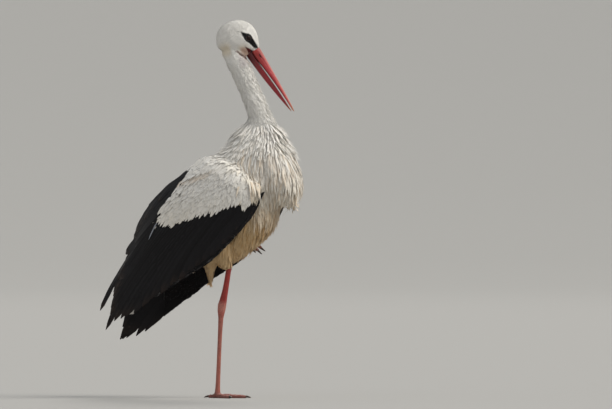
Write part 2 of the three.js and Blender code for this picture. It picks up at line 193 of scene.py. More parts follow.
def read(items, name, width=1, kind=np.float32):
    values = np.empty(len(items) * width, kind)
    items.foreach_get(name, values)
    return values.reshape(-1, width) if width > 1 else values


def places_of(piece):
    return read(piece.data.vertices, "co", 3).astype(float)


def placed_at(piece, points):
    piece.data.vertices.foreach_set("co", np.asarray(points, np.float32).ravel())
    piece.data.update()


def painted(piece, colours):
    """Gives each vertex its colour, as the attribute that the finishes read."""
    tone = np.ones((len(piece.data.vertices), 4), np.float32)
    tone[:, :3] = np.clip(colours, 0, 1)
    mark = piece.data.color_attributes.new("Tone", "FLOAT_COLOR", "POINT")
    mark.data.foreach_set("color", tone.ravel())


def unit(vectors):
    return vectors / np.maximum(np.linalg.norm(vectors, axis=-1, keepdims=True), 1e-9)


def smoothstep(low, high, value):
    share = np.clip((value - low) / (high - low), 0, 1)
    return share * share * (3 - 2 * share)


def blend(first, second, share):
    share = np.asarray(share)[..., None]
    return np.asarray(first) * (1 - share) + np.asarray(second) * share


def spline(points, shares):
    """Points of a smooth line through `points` at `shares` of its run, 0 to 1."""
    points = np.asarray(points, float)
    last = len(points) - 1
    place = np.clip(np.asarray(shares, float), 0, 1) * last
    start = np.minimum(place.astype(int), last - 1)
    t = (place - start)[..., None]
    before = points[np.maximum(start - 1, 0)]
    here = points[start]
    after = points[start + 1]
    beyond = points[np.minimum(start + 2, last)]
    return here + 0.5 * t * (
        after - before
        + t * (2 * before - 5 * here + 4 * after - beyond + t * (3 * (here - after) + beyond - before))
    )


def beside(flat, line):
    """How far places on a plane are from a line of straight runs, and how far along it, 0 to 1."""
    line = np.asarray(line, float)
    gaps, alongs = [], []
    for i, (start, end) in enumerate(zip(line[:-1], line[1:])):
        run = end - start
        share = np.clip(((flat - start) @ run) / (run @ run), 0, 1)
        gaps.append(np.linalg.norm(flat - start - share[:, None] * run, axis=1))
        alongs.append((i + share) / (len(line) - 1))
    nearest = np.argmin(gaps, axis=0)
    column = np.arange(len(flat))
    return np.array(gaps)[nearest, column], np.array(alongs)[nearest, column]


# ------------------------------------------------------------------ the head's own directions

def head_matrix():
    """X along the bill, Y to the bird's left, Z to the crown, from the middle of the skull."""
    along = Vector((math.cos(BILL_DIP), 0, -math.sin(BILL_DIP)))
    turn = Matrix.Rotation(HEAD_TURN, 3, "Z")
    along = turn @ along
    side = turn @ Vector((0, 1, 0))
    crown = along.cross(side)
    between_eyes = sum((sum(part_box(f"eye_{name}"), Vector()) for name in SIDES), Vector()) / 4
    centre = between_eyes - along * EYE_PLACE[0] * MM - crown * EYE_PLACE[1] * MM
    matrix = Matrix((along, side, crown)).transposed().to_4x4()
    matrix.translation = centre
    return matrix


HEAD = head_matrix()
HEAD_INVERSE = np.array(HEAD.inverted())
HEAD_TURNED = np.array(HEAD)[:3, :3]


def in_head(points):
    """Places in the head's own directions, in millimetres: along the bill, to the left, to the crown."""
    return (points @ HEAD_INVERSE[:3, :3].T + HEAD_INVERSE[:3, 3]) / MM


# ------------------------------------------------------------------ skin

def merged_copy(names, title):
    """The named nodes' meshes in one new object, each face marked with the number of its node."""
    pick_none()
    for number, name in enumerate(names):
        mesh = NODES[name].data.copy()
        mesh.materials.clear()
        mark = mesh.attributes.new("part", "INT", "FACE")
        mark.data.foreach_set("value", np.full(len(mesh.polygons), number, np.int32))
        copy = in_scene(f"{title}_{name}", mesh)
        copy.select_set(True)
        bpy.context.view_layer.objects.active = copy
    if len(names) > 1:
        bpy.ops.object.join()
    piece = pick(bpy.context.view_layer.objects.active)
    piece.name = title
    edit_all()
    bpy.ops.mesh.remove_doubles(threshold=0.01 * MM)
    edit_done()
    return piece


class Surface:
    """A mesh as a surface to lay things on: nearest places, smooth normals, marks of its faces."""

    def __init__(self, piece):
        mesh = piece.data
        mesh.calc_loop_triangles()
        self.points = read(mesh.vertices, "co", 3)
        self.normals = read(mesh.vertex_normals, "vector", 3)
        self.triangles = read(mesh.loop_triangles, "vertices", 3, np.int32)
        self.faces = read(mesh.loop_triangles, "polygon_index", 1, np.int32)
        self.tree = BVHTree.FromPolygons(
            self.points.tolist(), self.triangles.tolist(), all_triangles=True)

    def corners(self, values=None):
        return (self.points if values is None else values)[self.triangles]

    def nearest(self, points):
        """The nearest places, the smooth normals there and the triangles they lie in."""
        hits = [self.tree.find_nearest(point) for point in np.asarray(points).tolist()]
        places = np.array([hit[0] for hit in hits])
        triangles = np.array([hit[2] for hit in hits])
        shares = self.shares(places, triangles)
        normals = (shares[..., None] * self.corners(self.normals)[triangles]).sum(1)
        return places, unit(normals), triangles

    def shares(self, places, triangles):
        """How much of each corner of its triangle is in each place."""
        a, b, c = np.moveaxis(self.corners()[triangles].astype(float), 1, 0)
        total = np.linalg.norm(np.cross(b - a, c - a), axis=1) + 1e-18
        first = np.linalg.norm(np.cross(b - places, c - places), axis=1) / total
        second = np.linalg.norm(np.cross(c - places, a - places), axis=1) / total
        shares = np.stack([first, second, np.clip(1 - first - second, 0, 1)], axis=1)
        return shares / shares.sum(1, keepdims=True)


def evened(values, edges, count, rounds):
    """Values at vertices, averaged with their neighbours a few times."""
    for _ in range(rounds):
        total = np.zeros((count, *values.shape[1:]))
        weight = np.zeros(count)
        for one, other in ((0, 1), (1, 0)):
            np.add.at(total, edges[:, one], values[edges[:, other]])
            np.add.at(weight, edges[:, one], 1)
        weight = np.maximum(weight, 1).reshape(-1, *[1] * (values.ndim - 1))
        values = 0.5 * values + 0.5 * total / weight
    return values


def shrunk(piece, depth, rounds=12):
    """Draws a piece's surface in by `depth` at each vertex, never past a third of its thickness."""
    surface = Surface(piece)
    for i, (point, normal) in enumerate(zip(surface.points.tolist(), surface.normals)):
        inward = Vector((-normal).tolist())
        hit = surface.tree.ray_cast(Vector(point) + inward * 0.2 * MM, inward)
        if hit[0] is not None:
            depth[i] = min(depth[i], hit[3] / 3)
    edges = read(piece.data.edges, "vertices", 2, np.int32)
    depth = evened(depth, edges, len(depth), rounds)
    placed_at(piece, surface.points - surface.normals * depth[:, None])


def body_skin():
    """One smooth skin over head, neck, trunk, tail, wings and thighs, drawn in by the coat's depth."""
    skin = merged_copy(BODY_NODES, "skin")
    source = Surface(skin)
    marks = read(skin.data.attributes["part"].data, "value", 1, np.int32)[source.faces]
    modified(skin, "DISPLACE", strength=CLOSE_SEAMS, mid_level=0)
    modified(skin, "REMESH", mode="VOXEL", voxel_size=SKIN_VOXEL, use_smooth_shade=True)
    modified(skin, "SMOOTH", factor=0.5, iterations=6)
    parts = marks[source.nearest(places_of(skin))[2]]
    depth = np.array(list(COAT_DEPTH.values()))[parts] * MM + CLOSE_SEAMS
    shrunk(skin, depth)
    places = places_of(skin)
    plain = np.flatnonzero((places[:, 2] < FACE_FLOOR) | (in_head(places)[:, 0] < FACE_BACK))
    skin.vertex_groups.new(name="plain").add(plain.tolist(), 1, "REPLACE")
    modified(skin, "DECIMATE", ratio=SKIN_KEPT, vertex_group="plain")
    face = read(skin.data.polygons, "center", 3)
    face = (face[:, 2] > FACE_FLOOR) & (in_head(face)[:, 0] > 0)
    select_in_edit(skin, faces=np.flatnonzero(face).tolist())
    bpy.ops.mesh.subdivide(number_cuts=1, smoothness=0)
    edit_done()
    normals = read(skin.data.vertex_normals, "vector", 3)
    placed_at(skin, places_of(skin) + normals * (face_folds(places_of(skin)) * MM)[:, None])
    return skin, source, marks


# ------------------------------------------------------------------ bare legs

# The middle lines of the bare legs, each from its feathering to the root of its toes.
LEG_RUNS = {
    "right": (BARE_TOP, ANKLE, (9, -7.4, 140), (3.5, -3, 60), (0, 0, 12)),
    "left": ((-84, 37, 302), FOLDED_ANKLE, (-124, 33, 278), (-80, 31.5, 300), (-10, 29, 336), FOLDED_HUB),
}
SCUTE = 3.4                            # length of one plate down the front of the leg
SCUTE_DEPTH = 0.32
FOLD_DEPTH = 0.55                      # of the wrinkles at the ankle
LEG_TUCKED = 14                        # how far the standing leg runs on inside its feathering
ANKLE_REACH = 17                       # how far the ankle's folds go up and down
ANKLE_FOLD_STEP = 3.6                  # from one of them to the next
ALONE_BELOW = 250                      # below this height there is only the standing leg
ALONE_RIGHT = 310                      # and below this one there is no other on the bird's right
SOLE = (3.0, 6.0)                      # between these heights the scales fade out, so that soles lie flat


def leg_places(points):
    """For places on the bare legs: how far down the leg or toe, how far from the ankle, and whether
    they lie on a foot."""
    right = points[:, 2] < ALONE_BELOW * MM
    right |= (points[:, 1] < 0) & (points[:, 2] < ALONE_RIGHT * MM)
    down = np.zeros(len(points))
    from_ankle = np.zeros(len(points))
    foot = np.zeros(len(points))
    for side, mine in (("right", right), ("left", ~right)):
        run = np.array(LEG_RUNS[side], float)
        here = points[mine] / MM
        lengths = np.linalg.norm(np.diff(run, axis=0), axis=1)
        _, share = beside(here, run)
        marks = np.concatenate([[0], np.cumsum(lengths)])
        down[mine] = np.interp(share * len(lengths), np.arange(len(marks)), marks)
        from_ankle[mine] = down[mine] - lengths[0]
        hub = np.linalg.norm(here - run[-1], axis=1)
        toe = share > 0.999
        down[mine] = np.where(toe, marks[-1] + hub, down[mine])
        foot[mine] = smoothstep(-14, 6, np.where(toe, hub, down[mine] - marks[-1]))
    return down, from_ankle, foot, right


def leg_skin():
    """Bare legs and feet: plates down the front and folds round the ankle."""
    legs = merged_copy(LEG_NODES, "leg_skin")
    faced_out()
    modified(legs, "DISPLACE", strength=CLOSE_SEAMS, mid_level=0)
    modified(legs, "REMESH", mode="VOXEL", voxel_size=LEG_VOXEL, use_smooth_shade=True)
    modified(legs, "SMOOTH", factor=0.5, iterations=4)
    shrunk(legs, np.full(len(legs.data.vertices), CLOSE_SEAMS), 2)
    points = places_of(legs)
    level = points[:, 2] / MM - BARE_TOP[2]
    upward = unit(np.subtract(BARE_TOP, ANKLE).astype(float)) * LEG_TUCKED * MM
    points += upward * (smoothstep(-4, -1, level) * (level < 10) * (points[:, 1] < 0))[:, None]
    placed_at(legs, points)
    normals = read(legs.data.vertex_normals, "vector", 3).astype(float)
    down, from_ankle, foot, right = leg_places(points)
    front = np.where(right & (foot < 0.5), normals[:, 0], normals[:, 2])
    plates = np.abs(np.sin(math.pi * down / SCUTE)) ** 0.6 - 0.6
    plates = plates * smoothstep(0.05, 0.5, front) * smoothstep(2, 20, from_ankle)
    wrinkles = np.sin(from_ankle * 2 * math.pi / ANKLE_FOLD_STEP + 1.3 * np.sin(points[:, 1] / MM * 0.9))
    wrinkles = wrinkles * smoothstep(ANKLE_REACH, 4, np.abs(from_ankle))
    above_sole = smoothstep(*SOLE, points[:, 2] / MM)
    push = (SCUTE_DEPTH * plates + 0.5 * FOLD_DEPTH * wrinkles) * above_sole * MM
    placed_at(legs, points + normals * push[:, None])
    modified(legs, "DECIMATE", ratio=LEG_KEPT)
    points = places_of(legs)
    down, from_ankle, foot, right = leg_places(points)
    tone = blend(SHANK_RED, TARSUS_PINK, smoothstep(-4, 26, from_ankle))
    tone = blend(tone, JOINT_PINK, 0.9 * smoothstep(20, 3, np.abs(from_ankle + 2)))
    tone = blend(tone, TOE_BROWN, 0.75 * smoothstep(0.3, 1, foot))
    painted(legs, tone)
    return legs


CLAW_SWELL = 0.25 * MM                 # what a claw gains back after it has been smoothed


def claws():
    """Each claw as its own smooth piece of horn over its node."""
    made = []
    for side in SIDES:
        for toe in TOES:
            name = f"claw_{side}_{toe}"
            piece = merged_copy([name], f"horn_{side}_{toe}")
            modified(piece, "SUBSURF", levels=2, render_levels=2)
            modified(piece, "DISPLACE", strength=CLAW_SWELL, mid_level=0)
            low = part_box(name)[0].z
            points = places_of(piece)
            points[:, 2] = np.maximum(points[:, 2], low)
            placed_at(piece, points)
            bpy.ops.object.shade_smooth()
            made.append((piece, name))
    return made


# ------------------------------------------------------------------ markings, painted shade and the lie of the coat

# On the side of the head, as [along the bill, to the crown].
MASK = ((-18, 19.5), (-8, 25), (2, 28.5), (14, 31), (30, 33))     # middle of the black round the eye
MASK_HALF = (0.5, 4.5, 8.0, 6.5, 4.6)
GAPE = ((17, 13.5), (30, 17), (42, 19.5))                         # bare red skin behind the bill
GAPE_HALF = (0.6, 5.0, 9.5)
GAPE_SLATE = (35, 25)                  # where the bare skin turns dark under the mask
JAW_FOLD = ((19, -9), (28, -5.5), (35, -2), (41, 3), (45, 9))     # line of the fold under the jaw, sunk into the skin and painted dark as shade in it
CHEEK = (28, 6.5)                      # middle of the buff swelling between the gape and that line
BROW = ((-14, 27), (-2, 34), (12, 38), (28, 40))                  # soft ridge over the eye
# middle of the painted shade on the throat
THROAT = (38, -9)
NAPE = (-3, -29)                       # middle of a yellowish stain behind the cheek
SWIRL = (24, -26)                      # the feathers of the face run round this place under the chin
MARKS_AND_SHADE_ABOVE = 740                     # height above which these markings and the painted shade on the throat and in the jaw's fold can lie


def outside(head_points, line, half):
    """How far places lie outside a marking, from its middle line and half its width, in millimetres."""
    shares = np.linspace(0, 1, 25)
    middle = spline(line, shares)
    reach = spline(np.array(half)[:, None], shares)[:, 0]
    flat = head_points[:, None, [0, 2]] - middle[None]
    return (np.linalg.norm(flat, axis=2) - reach[None]).min(1)


def from_cheek(flat):
    return np.linalg.norm((flat - CHEEK) * (0.8, 1), axis=1)


def outside_mask(head_points):
    return outside(head_points, MASK, MASK_HALF)


def outside_gape(head_points):
    return outside(head_points, GAPE, GAPE_HALF)


def face_folds(points):
    """How far the skin of the head stands out or sinks in at places, in millimetres."""
    head = in_head(points)
    flat = head[:, [0, 2]]
    gap, run = beside(flat, JAW_FOLD)
    swelling = 2.4 * np.exp(-((from_cheek(flat) / 5.5) ** 2))
    groove = -2.0 * np.exp(-((gap / 1.7) ** 2)) * smoothstep(0, 0.2, run)
    brow = 1.3 * np.exp(-((beside(flat, BROW)[0] / 3.5) ** 2))
    wrinkles = 0.6 * np.sin(head[:, 2] * 2.6 - head[:, 0] * 0.9 + 0.8 * np.sin(head[:, 0] * 0.7))
    wrinkles = wrinkles * smoothstep(0.5, -2, outside_gape(head))      # only on the bare skin
    on_side = (points[:, 2] > FACE_FLOOR) * smoothstep(5, 9, np.abs(head[:, 1]))
    return on_side * (swelling + groove + brow + wrinkles)


def tones(points, black):
    """The bird's colours at places on it, with painted shade on the throat and in the jaw's fold and
    painted warm ground light on the belly; `black` is how far each belongs to the black feathers.
    """
    x, z = points[:, 0] / MM, points[:, 2] / MM
    head = in_head(points)
    flat = head[:, [0, 2]]
    cream = smoothstep(610, 470, z) * smoothstep(-40, 90, x)
    # The lower body is painted buff, partly for its stains and partly as painted warm light thrown up from
    # the ground.
    buff = smoothstep(500, 400, z) * smoothstep(-130, 20, x)
    colour = blend(WHITE, CREAM, 0.55 * cream)
    colour = blend(colour, BUFF_STAIN_AND_GROUND_LIGHT, 0.95 * buff)
    colour = blend(colour, BLACK, black)
    near_head = z > MARKS_AND_SHADE_ABOVE
    cheek = near_head * smoothstep(11, 4, from_cheek(flat))
    # Painted shade: the throat is painted greyer where shade falls under the jaw.
    throat_shade = near_head * smoothstep(15, 5, np.linalg.norm(flat - THROAT, axis=1))
    # Painted shade: the fold under the jaw is painted dark brown where shade falls in its groove.
    fold = near_head * smoothstep(3.4, 1.2, beside(flat, JAW_FOLD)[0])
    nape = near_head * smoothstep(23, 5, np.linalg.norm(flat - NAPE, axis=1))
    jaw = near_head * smoothstep(19, 8, from_cheek(flat))
    colour = blend(colour, STAIN, np.maximum(0.5 * nape, 0.3 * jaw))
    colour = blend(colour, THROAT_SHADE_GREY, 0.45 * throat_shade)
    colour = blend(colour, CHEEK_BUFF, 0.85 * cheek)
    colour = blend(colour, FOLD_SHADE_BROWN, 0.9 * fold)
    gape = blend(GAPE_RED, SLATE, smoothstep(9, 4, np.linalg.norm(flat - GAPE_SLATE, axis=1)))
    gape = gape * (1 + 0.35 * np.sin(head[:, 2] * 2.6 - head[:, 0] * 0.9))[:, None]
    ragged = outside_gape(head) + 0.5 * np.sin(head[:, 0] * 1.9) * np.sin(head[:, 2] * 2.3)
    colour = blend(colour, gape, near_head * smoothstep(1.0, -0.8, ragged))
    return blend(colour, BLACK, near_head * smoothstep(0.6, -0.6, outside_mask(head)))


def lie(points):
    """Which way feathers point at places on the body."""
    x, z = points[:, 0] / MM, points[:, 2] / MM
    back = smoothstep(150, -30, x)
    trunk = np.stack([-0.04 - 0.8 * back, np.zeros(len(x)), -np.ones(len(x)) + 0.35 * back], axis=1)
    neck = np.array((0.42, 0, -0.91))
    flow = blend(trunk, np.broadcast_to(neck, trunk.shape), smoothstep(612, 664, z))
    head = in_head(points)
    from_swirl = unit(head[:, [0, 2]] - SWIRL)
    round_swirl = np.stack([-from_swirl[:, 1], np.zeros(len(x)), from_swirl[:, 0]], axis=1)
    skull = round_swirl @ HEAD_TURNED.T
    below_chin = smoothstep(-8, -26, head[:, 2]) * smoothstep(-32, 0, head[:, 0])
    on_neck = np.maximum(smoothstep(792, 766, z), below_chin)
    return unit(blend(skull, flow, on_neck))


# ------------------------------------------------------------------ feathers

# Outlines: steps along a feather and the share of its full width at each.
LANCE = ((0, 0.22, 0.45, 0.68, 0.87, 1), (0.35, 0.85, 1, 0.82, 0.45, 0.06))
BARB = ((0, 0.35, 0.7, 1), (0.5, 1, 0.72, 0.08))
HAIR = ((0, 0.45, 1), (0.6, 1, 0.06))
POINTED = ((0, 0.28, 0.55, 0.78, 0.92, 1), (0.45, 0.92, 1, 0.78, 0.42, 0.06))
VANE_OUTLINE = ((0, 0.1, 0.5, 0.8, 0.92, 0.975, 1), (0.5, 0.75, 1, 0.92, 0.7, 0.4, 0.08))
# Cross-sections: places across a feather and how high each one stands.
FLAT = ((-1, 0, 1), (0, 0.1, 0))
THREE = ((-1, 0, 1), (0, 0.24, 0))
FIVE = ((-1, -0.5, 0, 0.5, 1), (0, 0.13, 0.17, 0.13, 0))
SEVEN = ((-1, -0.6, -0.07, 0, 0.07, 0.6, 1), (0, 0.04, 0.05, 0.09, 0.05, 0.04, 0))

PATCH = 0.003                          # size of a feather's patch on the unwrap
DOWNWARD = (0.05, 0, -1)               # which way loose plumes hang


class Unwrap:
    """A light copy of the skin laid out flat, which tells where a place on it comes to lie."""

    def __init__(self, skin, faces=5000):
        chart = skin.copy()
        chart.data = skin.data.copy()
        bpy.context.scene.collection.objects.link(chart)
        modified(chart, "DECIMATE", ratio=faces / len(chart.data.polygons))
        pick(chart)
        edit_all()
        bpy.ops.uv.smart_project(angle_limit=math.radians(70), island_margin=0.004)
        edit_done()
        self.surface = Surface(chart)
        flat = read(chart.data.uv_layers.active.data, "uv", 2)
        self.flat = flat[read(chart.data.loop_triangles, "loops", 3, np.int32)]
        bpy.data.objects.remove(chart)

    def places(self, points):
        hits, _, triangles = self.surface.nearest(points)
        shares = self.surface.shares(hits, triangles)
        return (shares[..., None] * self.flat[triangles]).sum(1)


def feather_mesh(name, points, tone, patches, material):
    """Thin closed vanes from `points`, one row of places across at each step along (feathers, steps,
    places, 3), with a colour at each step and a patch of the unwrap each."""
    count, rows, across, _ = points.shape
    number = np.arange(count * rows * across).reshape(count, rows, across)
    low, high = number[:, :-1], number[:, 1:]
    top = np.stack([low[..., :-1], low[..., 1:], high[..., 1:], high[..., :-1]], axis=-1)
    under = np.stack([low[..., -1], low[..., 0], high[..., 0], high[..., -1]], axis=-1)
    quads = np.concatenate([top.reshape(-1, 4), under.reshape(-1, 4)])
    ends = np.concatenate([number[:, 0, ::-1], number[:, -1]])
    mesh = bpy.data.meshes.new(name)
    mesh.vertices.add(number.size)
    mesh.vertices.foreach_set("co", points.astype(np.float32).ravel())
    mesh.loops.add(quads.size + ends.size)
    mesh.loops.foreach_set("vertex_index", np.concatenate([quads.ravel(), ends.ravel()]).astype(np.int32))
    mesh.polygons.add(len(quads) + len(ends))
    starts = np.concatenate([np.arange(len(quads)) * 4, quads.size + np.arange(len(ends)) * across])
    mesh.polygons.foreach_set("loop_start", starts.astype(np.int32))
    mesh.polygons.foreach_set("use_smooth", np.ones(len(starts), bool))
    mesh.update(calc_edges=True)
    edges = read(mesh.edges, "vertices", 2, np.int32) % across
    rim = (edges[:, 0] == edges[:, 1]) & ((edges[:, 0] == 0) | (edges[:, 0] == across - 1))
    sharp = mesh.attributes.new("sharp_edge", "BOOLEAN", "EDGE")
    sharp.data.foreach_set("value", rim)
    corner = read(mesh.loops, "vertex_index", 1, np.int32)
    vane = np.empty((count, rows, across, 2))
    vane[..., 0] = np.linspace(0, 1, across)
    vane[..., 1] = np.linspace(0, 1, rows)[:, None]
    for title, flat in (
        ("Vane", vane),
        ("OFBake", patches[:, None, None] + vane * PATCH),
    ):
        layer = mesh.uv_layers.new(name=title)
        layer.data.foreach_set("uv", flat.reshape(-1, 2)[corner].astype(np.float32).ravel())
    mesh.materials.append(material)
    piece = in_scene(name, mesh)
    painted(piece, np.broadcast_to(tone[:, :, None], points.shape).reshape(-1, 3))
    return piece


def scattered(surface, chosen, spacing):
    """Places spread over the chosen triangles, at least 0.8 of `spacing` apart."""
    corners = surface.corners()[chosen].astype(float)
    first, second, third = np.moveaxis(corners, 1, 0)
    areas = np.linalg.norm(np.cross(second - first, third - first), axis=1) / 2
    count = int(3 * areas.sum() / spacing ** 2) + 1
    picked = rng.choice(len(areas), count, p=areas / areas.sum())
    share = rng.random((count, 2))
    share = np.where(share.sum(1, keepdims=True) > 1, 1 - share, share)
    one_way, other_way = (second - first)[picked], (third - first)[picked]
    points = first[picked] + share[:, :1] * one_way + share[:, 1:] * other_way
    tree = KDTree(count)
    for i, point in enumerate(points.tolist()):
        tree.insert(point, i)
    tree.balance()
    stays = np.ones(count, bool)
    for i, point in enumerate(points.tolist()):
        if stays[i]:
            near = [other for _, other, _ in tree.find_range(point, 0.8 * spacing) if other > i]
            stays[near] = False
    return points[stays]


def turned(vectors, axes, angles):
    """Vectors turned about unit axes square to them."""
    angles = angles[:, None]
    return vectors * np.cos(angles) + np.cross(axes, vectors) * np.sin(angles)


def laid(surface, roots, flow, length, rise, steps, cling, wander):
    """Spines of feathers that follow the skin from their roots and stand off it by `rise` at the tip.
    Where `cling` is below 1 their ends leave the skin and hang."""
    here, normals, _ = surface.nearest(roots)
    flow = unit(flow - (flow * normals).sum(1, keepdims=True) * normals)
    flow = turned(flow, normals, rng.normal(0, wander, len(roots)))
    spine, facing = [here], [normals]
    for before, after in zip(steps[:-1], steps[1:]):
        ahead = here + flow * (length * (after - before))[:, None]
        held, under, _ = surface.nearest(ahead)
        inside = ((ahead - held) * under).sum(1) < 0
        held_share = np.where(inside, 1, cling ** (3 * after))[:, None]
        here = ahead + (held - ahead) * held_share
        normals = unit(normals + (under - normals) * held_share)
        flow = unit(flow - (flow * normals).sum(1, keepdims=True) * normals * held_share)
        flow = unit(flow + (np.array(DOWNWARD) - flow) * 0.5 * (1 - held_share))
        spine.append(here)
        facing.append(normals)
    spine, facing = np.stack(spine, 1), np.stack(facing, 1)
    lift = rise[:, None] * np.array(steps) ** 1.2
    return spine + facing * lift[..., None], facing


def spread(spine, facing, half, shares, across, crown):
    """Places across each feather's spine: (feathers, steps, places, 3)."""
    along = unit(np.gradient(spine, axis=1))
    side = unit(np.cross(facing, along))
    width = (half[:, None] * np.asarray(shares))[..., None, None]
    outward = np.asarray(across)[:, None] * side[:, :, None]
    upward = np.asarray(crown)[:, None] * facing[:, :, None]
    return spine[:, :, None] + (outward + upward) * width


def tinted(base, steps, root=0.94, tip=1.01, spread_of=0.03):
    """A colour at each step: darker at the root, and each feather a little different."""
    shade = root + (tip - root) * np.asarray(steps) ** 0.8
    own = 1 + rng.normal(0, spread_of, (len(base), 1, 1))
    return base[:, None] * shade[:, None] * own


class Coat:
    """All that is needed to grow feathers on the skin."""

    def __init__(self, skin, source, marks):
        self.surface = Surface(skin)
        self.middle = self.surface.corners().mean(1)
        self.part = marks[source.nearest(self.middle)[2]]
        self.head = in_head(self.middle)
        self.facing = self.surface.corners(self.surface.normals).mean(1)
        self.unwrap = Unwrap(skin)

    def on(self, *parts):
        return np.isin(self.part, [BODY_NODES.index(part) for part in parts])

    def grow(
            self, name, chosen, spacing, length, half, rise, kind, across=THREE, black=0, cling=1.0,
            wander=0.15, ruffle=0.2, front=0.0, streaks=0.0, bare=None, material=None):
        """One set of small feathers on the chosen triangles. `bare` tells which places stay free,
        `front` how much more it stands up where the bird faces forward, `streaks` how brown it gets."""
        steps, shares = kind
        roots = scattered(self.surface, chosen, spacing * MM)
        if bare:
            roots = roots[~bare(in_head(roots))]
        count = len(roots)
        vary = np.clip(1 + rng.normal(0, 0.14, count), 0.6, 1.5)
        ahead = np.clip(self.surface.nearest(roots)[1][:, 0], 0, 1)
        high = rise * MM * np.clip(1 + rng.normal(0, ruffle, count), 0.4, 2.2) * (1 + front * ahead)
        spine, facing = laid(
            self.surface, roots, lie(roots), length * MM * vary, high, steps, cling, wander)
        points = spread(spine, facing, half * MM * np.sqrt(vary), shares, *across)
        base = tones(roots, np.full(count, float(black)))
        base = blend(base, base * (0.80, 0.60, 0.38), streaks * rng.random(count) ** 2)
        return feather_mesh(name, points, tinted(base, steps), self.unwrap.places(roots), material)


# ------------------------------------------------------------------ bill

SECTION = 20                           # corners round each half of the bill

# Stations of each half, in the head's directions: along, upper edge, lower edge, half width.
UPPER_BILL = (
    (20, 37, 21, 13), (BILL_ROOT, 41.3, 19.4, 12.4), (44, 41.6, 19.8, 11.6), (57, 41.9, 21.9, 10.2),
    (66, 42.1, 23.8, 9.4), (90, 42.5, 28.0, 7.7), (125, 43, 32.8, 5.7), (163, 43.2, 36.9, 3.7),
    (186, 42.7, 38.2, 2.2), (196, 42.0, 39.0, 1.3), (BILL_TIP - 0.6, 41.4, 40.2, 0.4),
)
LOWER_BILL = (
    (20, 20, 8, 12), (BILL_ROOT, 21.0, 5.2, 11.8), (46, 21.6, 6.4, 10.6), (58, 22.4, 8.4, 9.4),
    (86, 25.6, 12.0, 7.0), (118, 29.8, 17.6, 5.3), (150, 33.0, 24.2, 3.6), (178, 35.2, 30.2, 2.2),
    (190, 35.9, 33.2, 1.3), (BILL_TIP - 3.6, 36.2, 35.2, 0.4),
)
EDGE_CREASE = 0.55                     # how sharp the cutting edges are
RIDGE_CREASE = 0.25
NOSTRIL = (44, 57)                     # from where to where it runs along the upper half
NASAL_GROOVE = ((56, 34.0), (75, 35.8), (100, 38.2), (125, 40.2))  # it runs on from the nostril
GROOVE_DEPTH = 0.55
GROOVE_HALF = 0.9
HORN_TIP = (168, 200)                  # where red turns to horn
NOSTRIL_LEVEL = 33.4                   # to the crown
RED_FULL = (40, 95)                    # from where to where the root's dark red turns to the bill's own

# Name, stations, which way its round back lies, red at the root and further out.
BILL_HALVES = (
    ("bill_upper_horn", UPPER_BILL, 1, (0.30, 0.030, 0.028), (0.43, 0.036, 0.046)),
    ("bill_lower_horn", LOWER_BILL, -1, (0.10, 0.006, 0.009), (0.29, 0.015, 0.024)),
)
# painted highlight along the upper half's ridge
RIDGE_HIGHLIGHT = (0.66, 0.26, 0.21)
HORN_BROWN = (0.46, 0.20, 0.10)
# painted shade inside the nostril slits
NOSTRIL_SHADE = (0.05, 0.008, 0.008)


def mandible(name, stations, deep_side):
    """One half of the bill, drawn out from a ring at its root and still in the head's directions.
    `deep_side` is 1 where its round back is up and -1 where it is down; the other face is flatter."""
    flat_share = 0.28                  # how deep the flat face is beside the round one

    def measures(station):
        along, upper, lower, half = np.array(station) * MM
        reach = (upper - lower) / (1 + flat_share)
        middle = lower + flat_share * reach if deep_side > 0 else upper - flat_share * reach
        return along, middle, reach, half

    along, middle, reach, half = measures(stations[0])
    pick_none()
    bpy.ops.mesh.primitive_circle_add(
        vertices=SECTION, radius=reach, fill_type="NGON",
        location=(along, 0, middle), rotation=(0, math.pi / 2, 0))
    piece = bpy.context.object
    piece.name = name
    bpy.ops.object.transform_apply(location=True, rotation=True, scale=True)
    points = places_of(piece)
    flat = (points[:, 2] - middle) * deep_side < 0
    points[flat, 2] = middle + (points[flat, 2] - middle) * flat_share
    placed_at(piece, points)
    edit_all()
    bpy.ops.transform.resize(value=(1, half / reach, 1), center_override=(along, 0, middle))
    for station in stations[1:]:
        ahead, level, new_reach, new_half = measures(station)
        scale = (1, new_half / half, new_reach / reach)
        extruded((ahead - along, 0, level - middle), scale, (ahead, 0, level))
        along, middle, reach, half = ahead, level, new_reach, new_half
    faced_out()
    creased(piece, stations, deep_side)
    return piece


def creased(piece, stations, deep_side):
    """Sharpens the cutting edges and, less, the ridge along the back."""
    stations = np.array(stations)
    points = places_of(piece) / MM
    half = np.interp(points[:, 0], stations[:, 0], stations[:, 3])
    back = np.interp(points[:, 0], stations[:, 0], stations[:, 1 if deep_side > 0 else 2])
    cutting = np.abs(points[:, 1]) > 0.985 * half
    ridge = (np.abs(points[:, 1]) < 0.1 * half) & (np.abs(points[:, 2] - back) < 0.2)
    ends = read(piece.data.edges, "vertices", 2, np.int32)
    for chosen, crease in ((cutting, EDGE_CREASE), (ridge, RIDGE_CREASE)):
        select_in_edit(piece, edges=np.flatnonzero(chosen[ends].all(1)).tolist())
        bpy.ops.transform.edge_crease(value=crease)
        edit_done()


def nostrils(piece):
    """A slit sunk into each side of the upper half near its root."""
    centres = read(piece.data.polygons, "center", 3) / MM
    inside = (centres[:, 0] > NOSTRIL[0]) & (centres[:, 0] < NOSTRIL[1])
    for way in SIDES.values():
        side = inside & (centres[:, 1] * way > 5) & (centres[:, 2] > 31)
        best = int(np.argmax(np.where(side, np.abs(centres[:, 1]), -1)))
        select_in_edit(piece, faces=[best])
        middle = Vector(centres[best].tolist()) * MM
        bpy.ops.mesh.inset(thickness=0.9 * MM, depth=0)
        bpy.ops.transform.resize(value=(0.92, 1, 0.34), center_override=middle)
        inward = Vector((0, -way * 2.2, -0.8)) * MM
        extruded(inward, (0.8, 1, 0.5), middle + inward)
        edit_done()


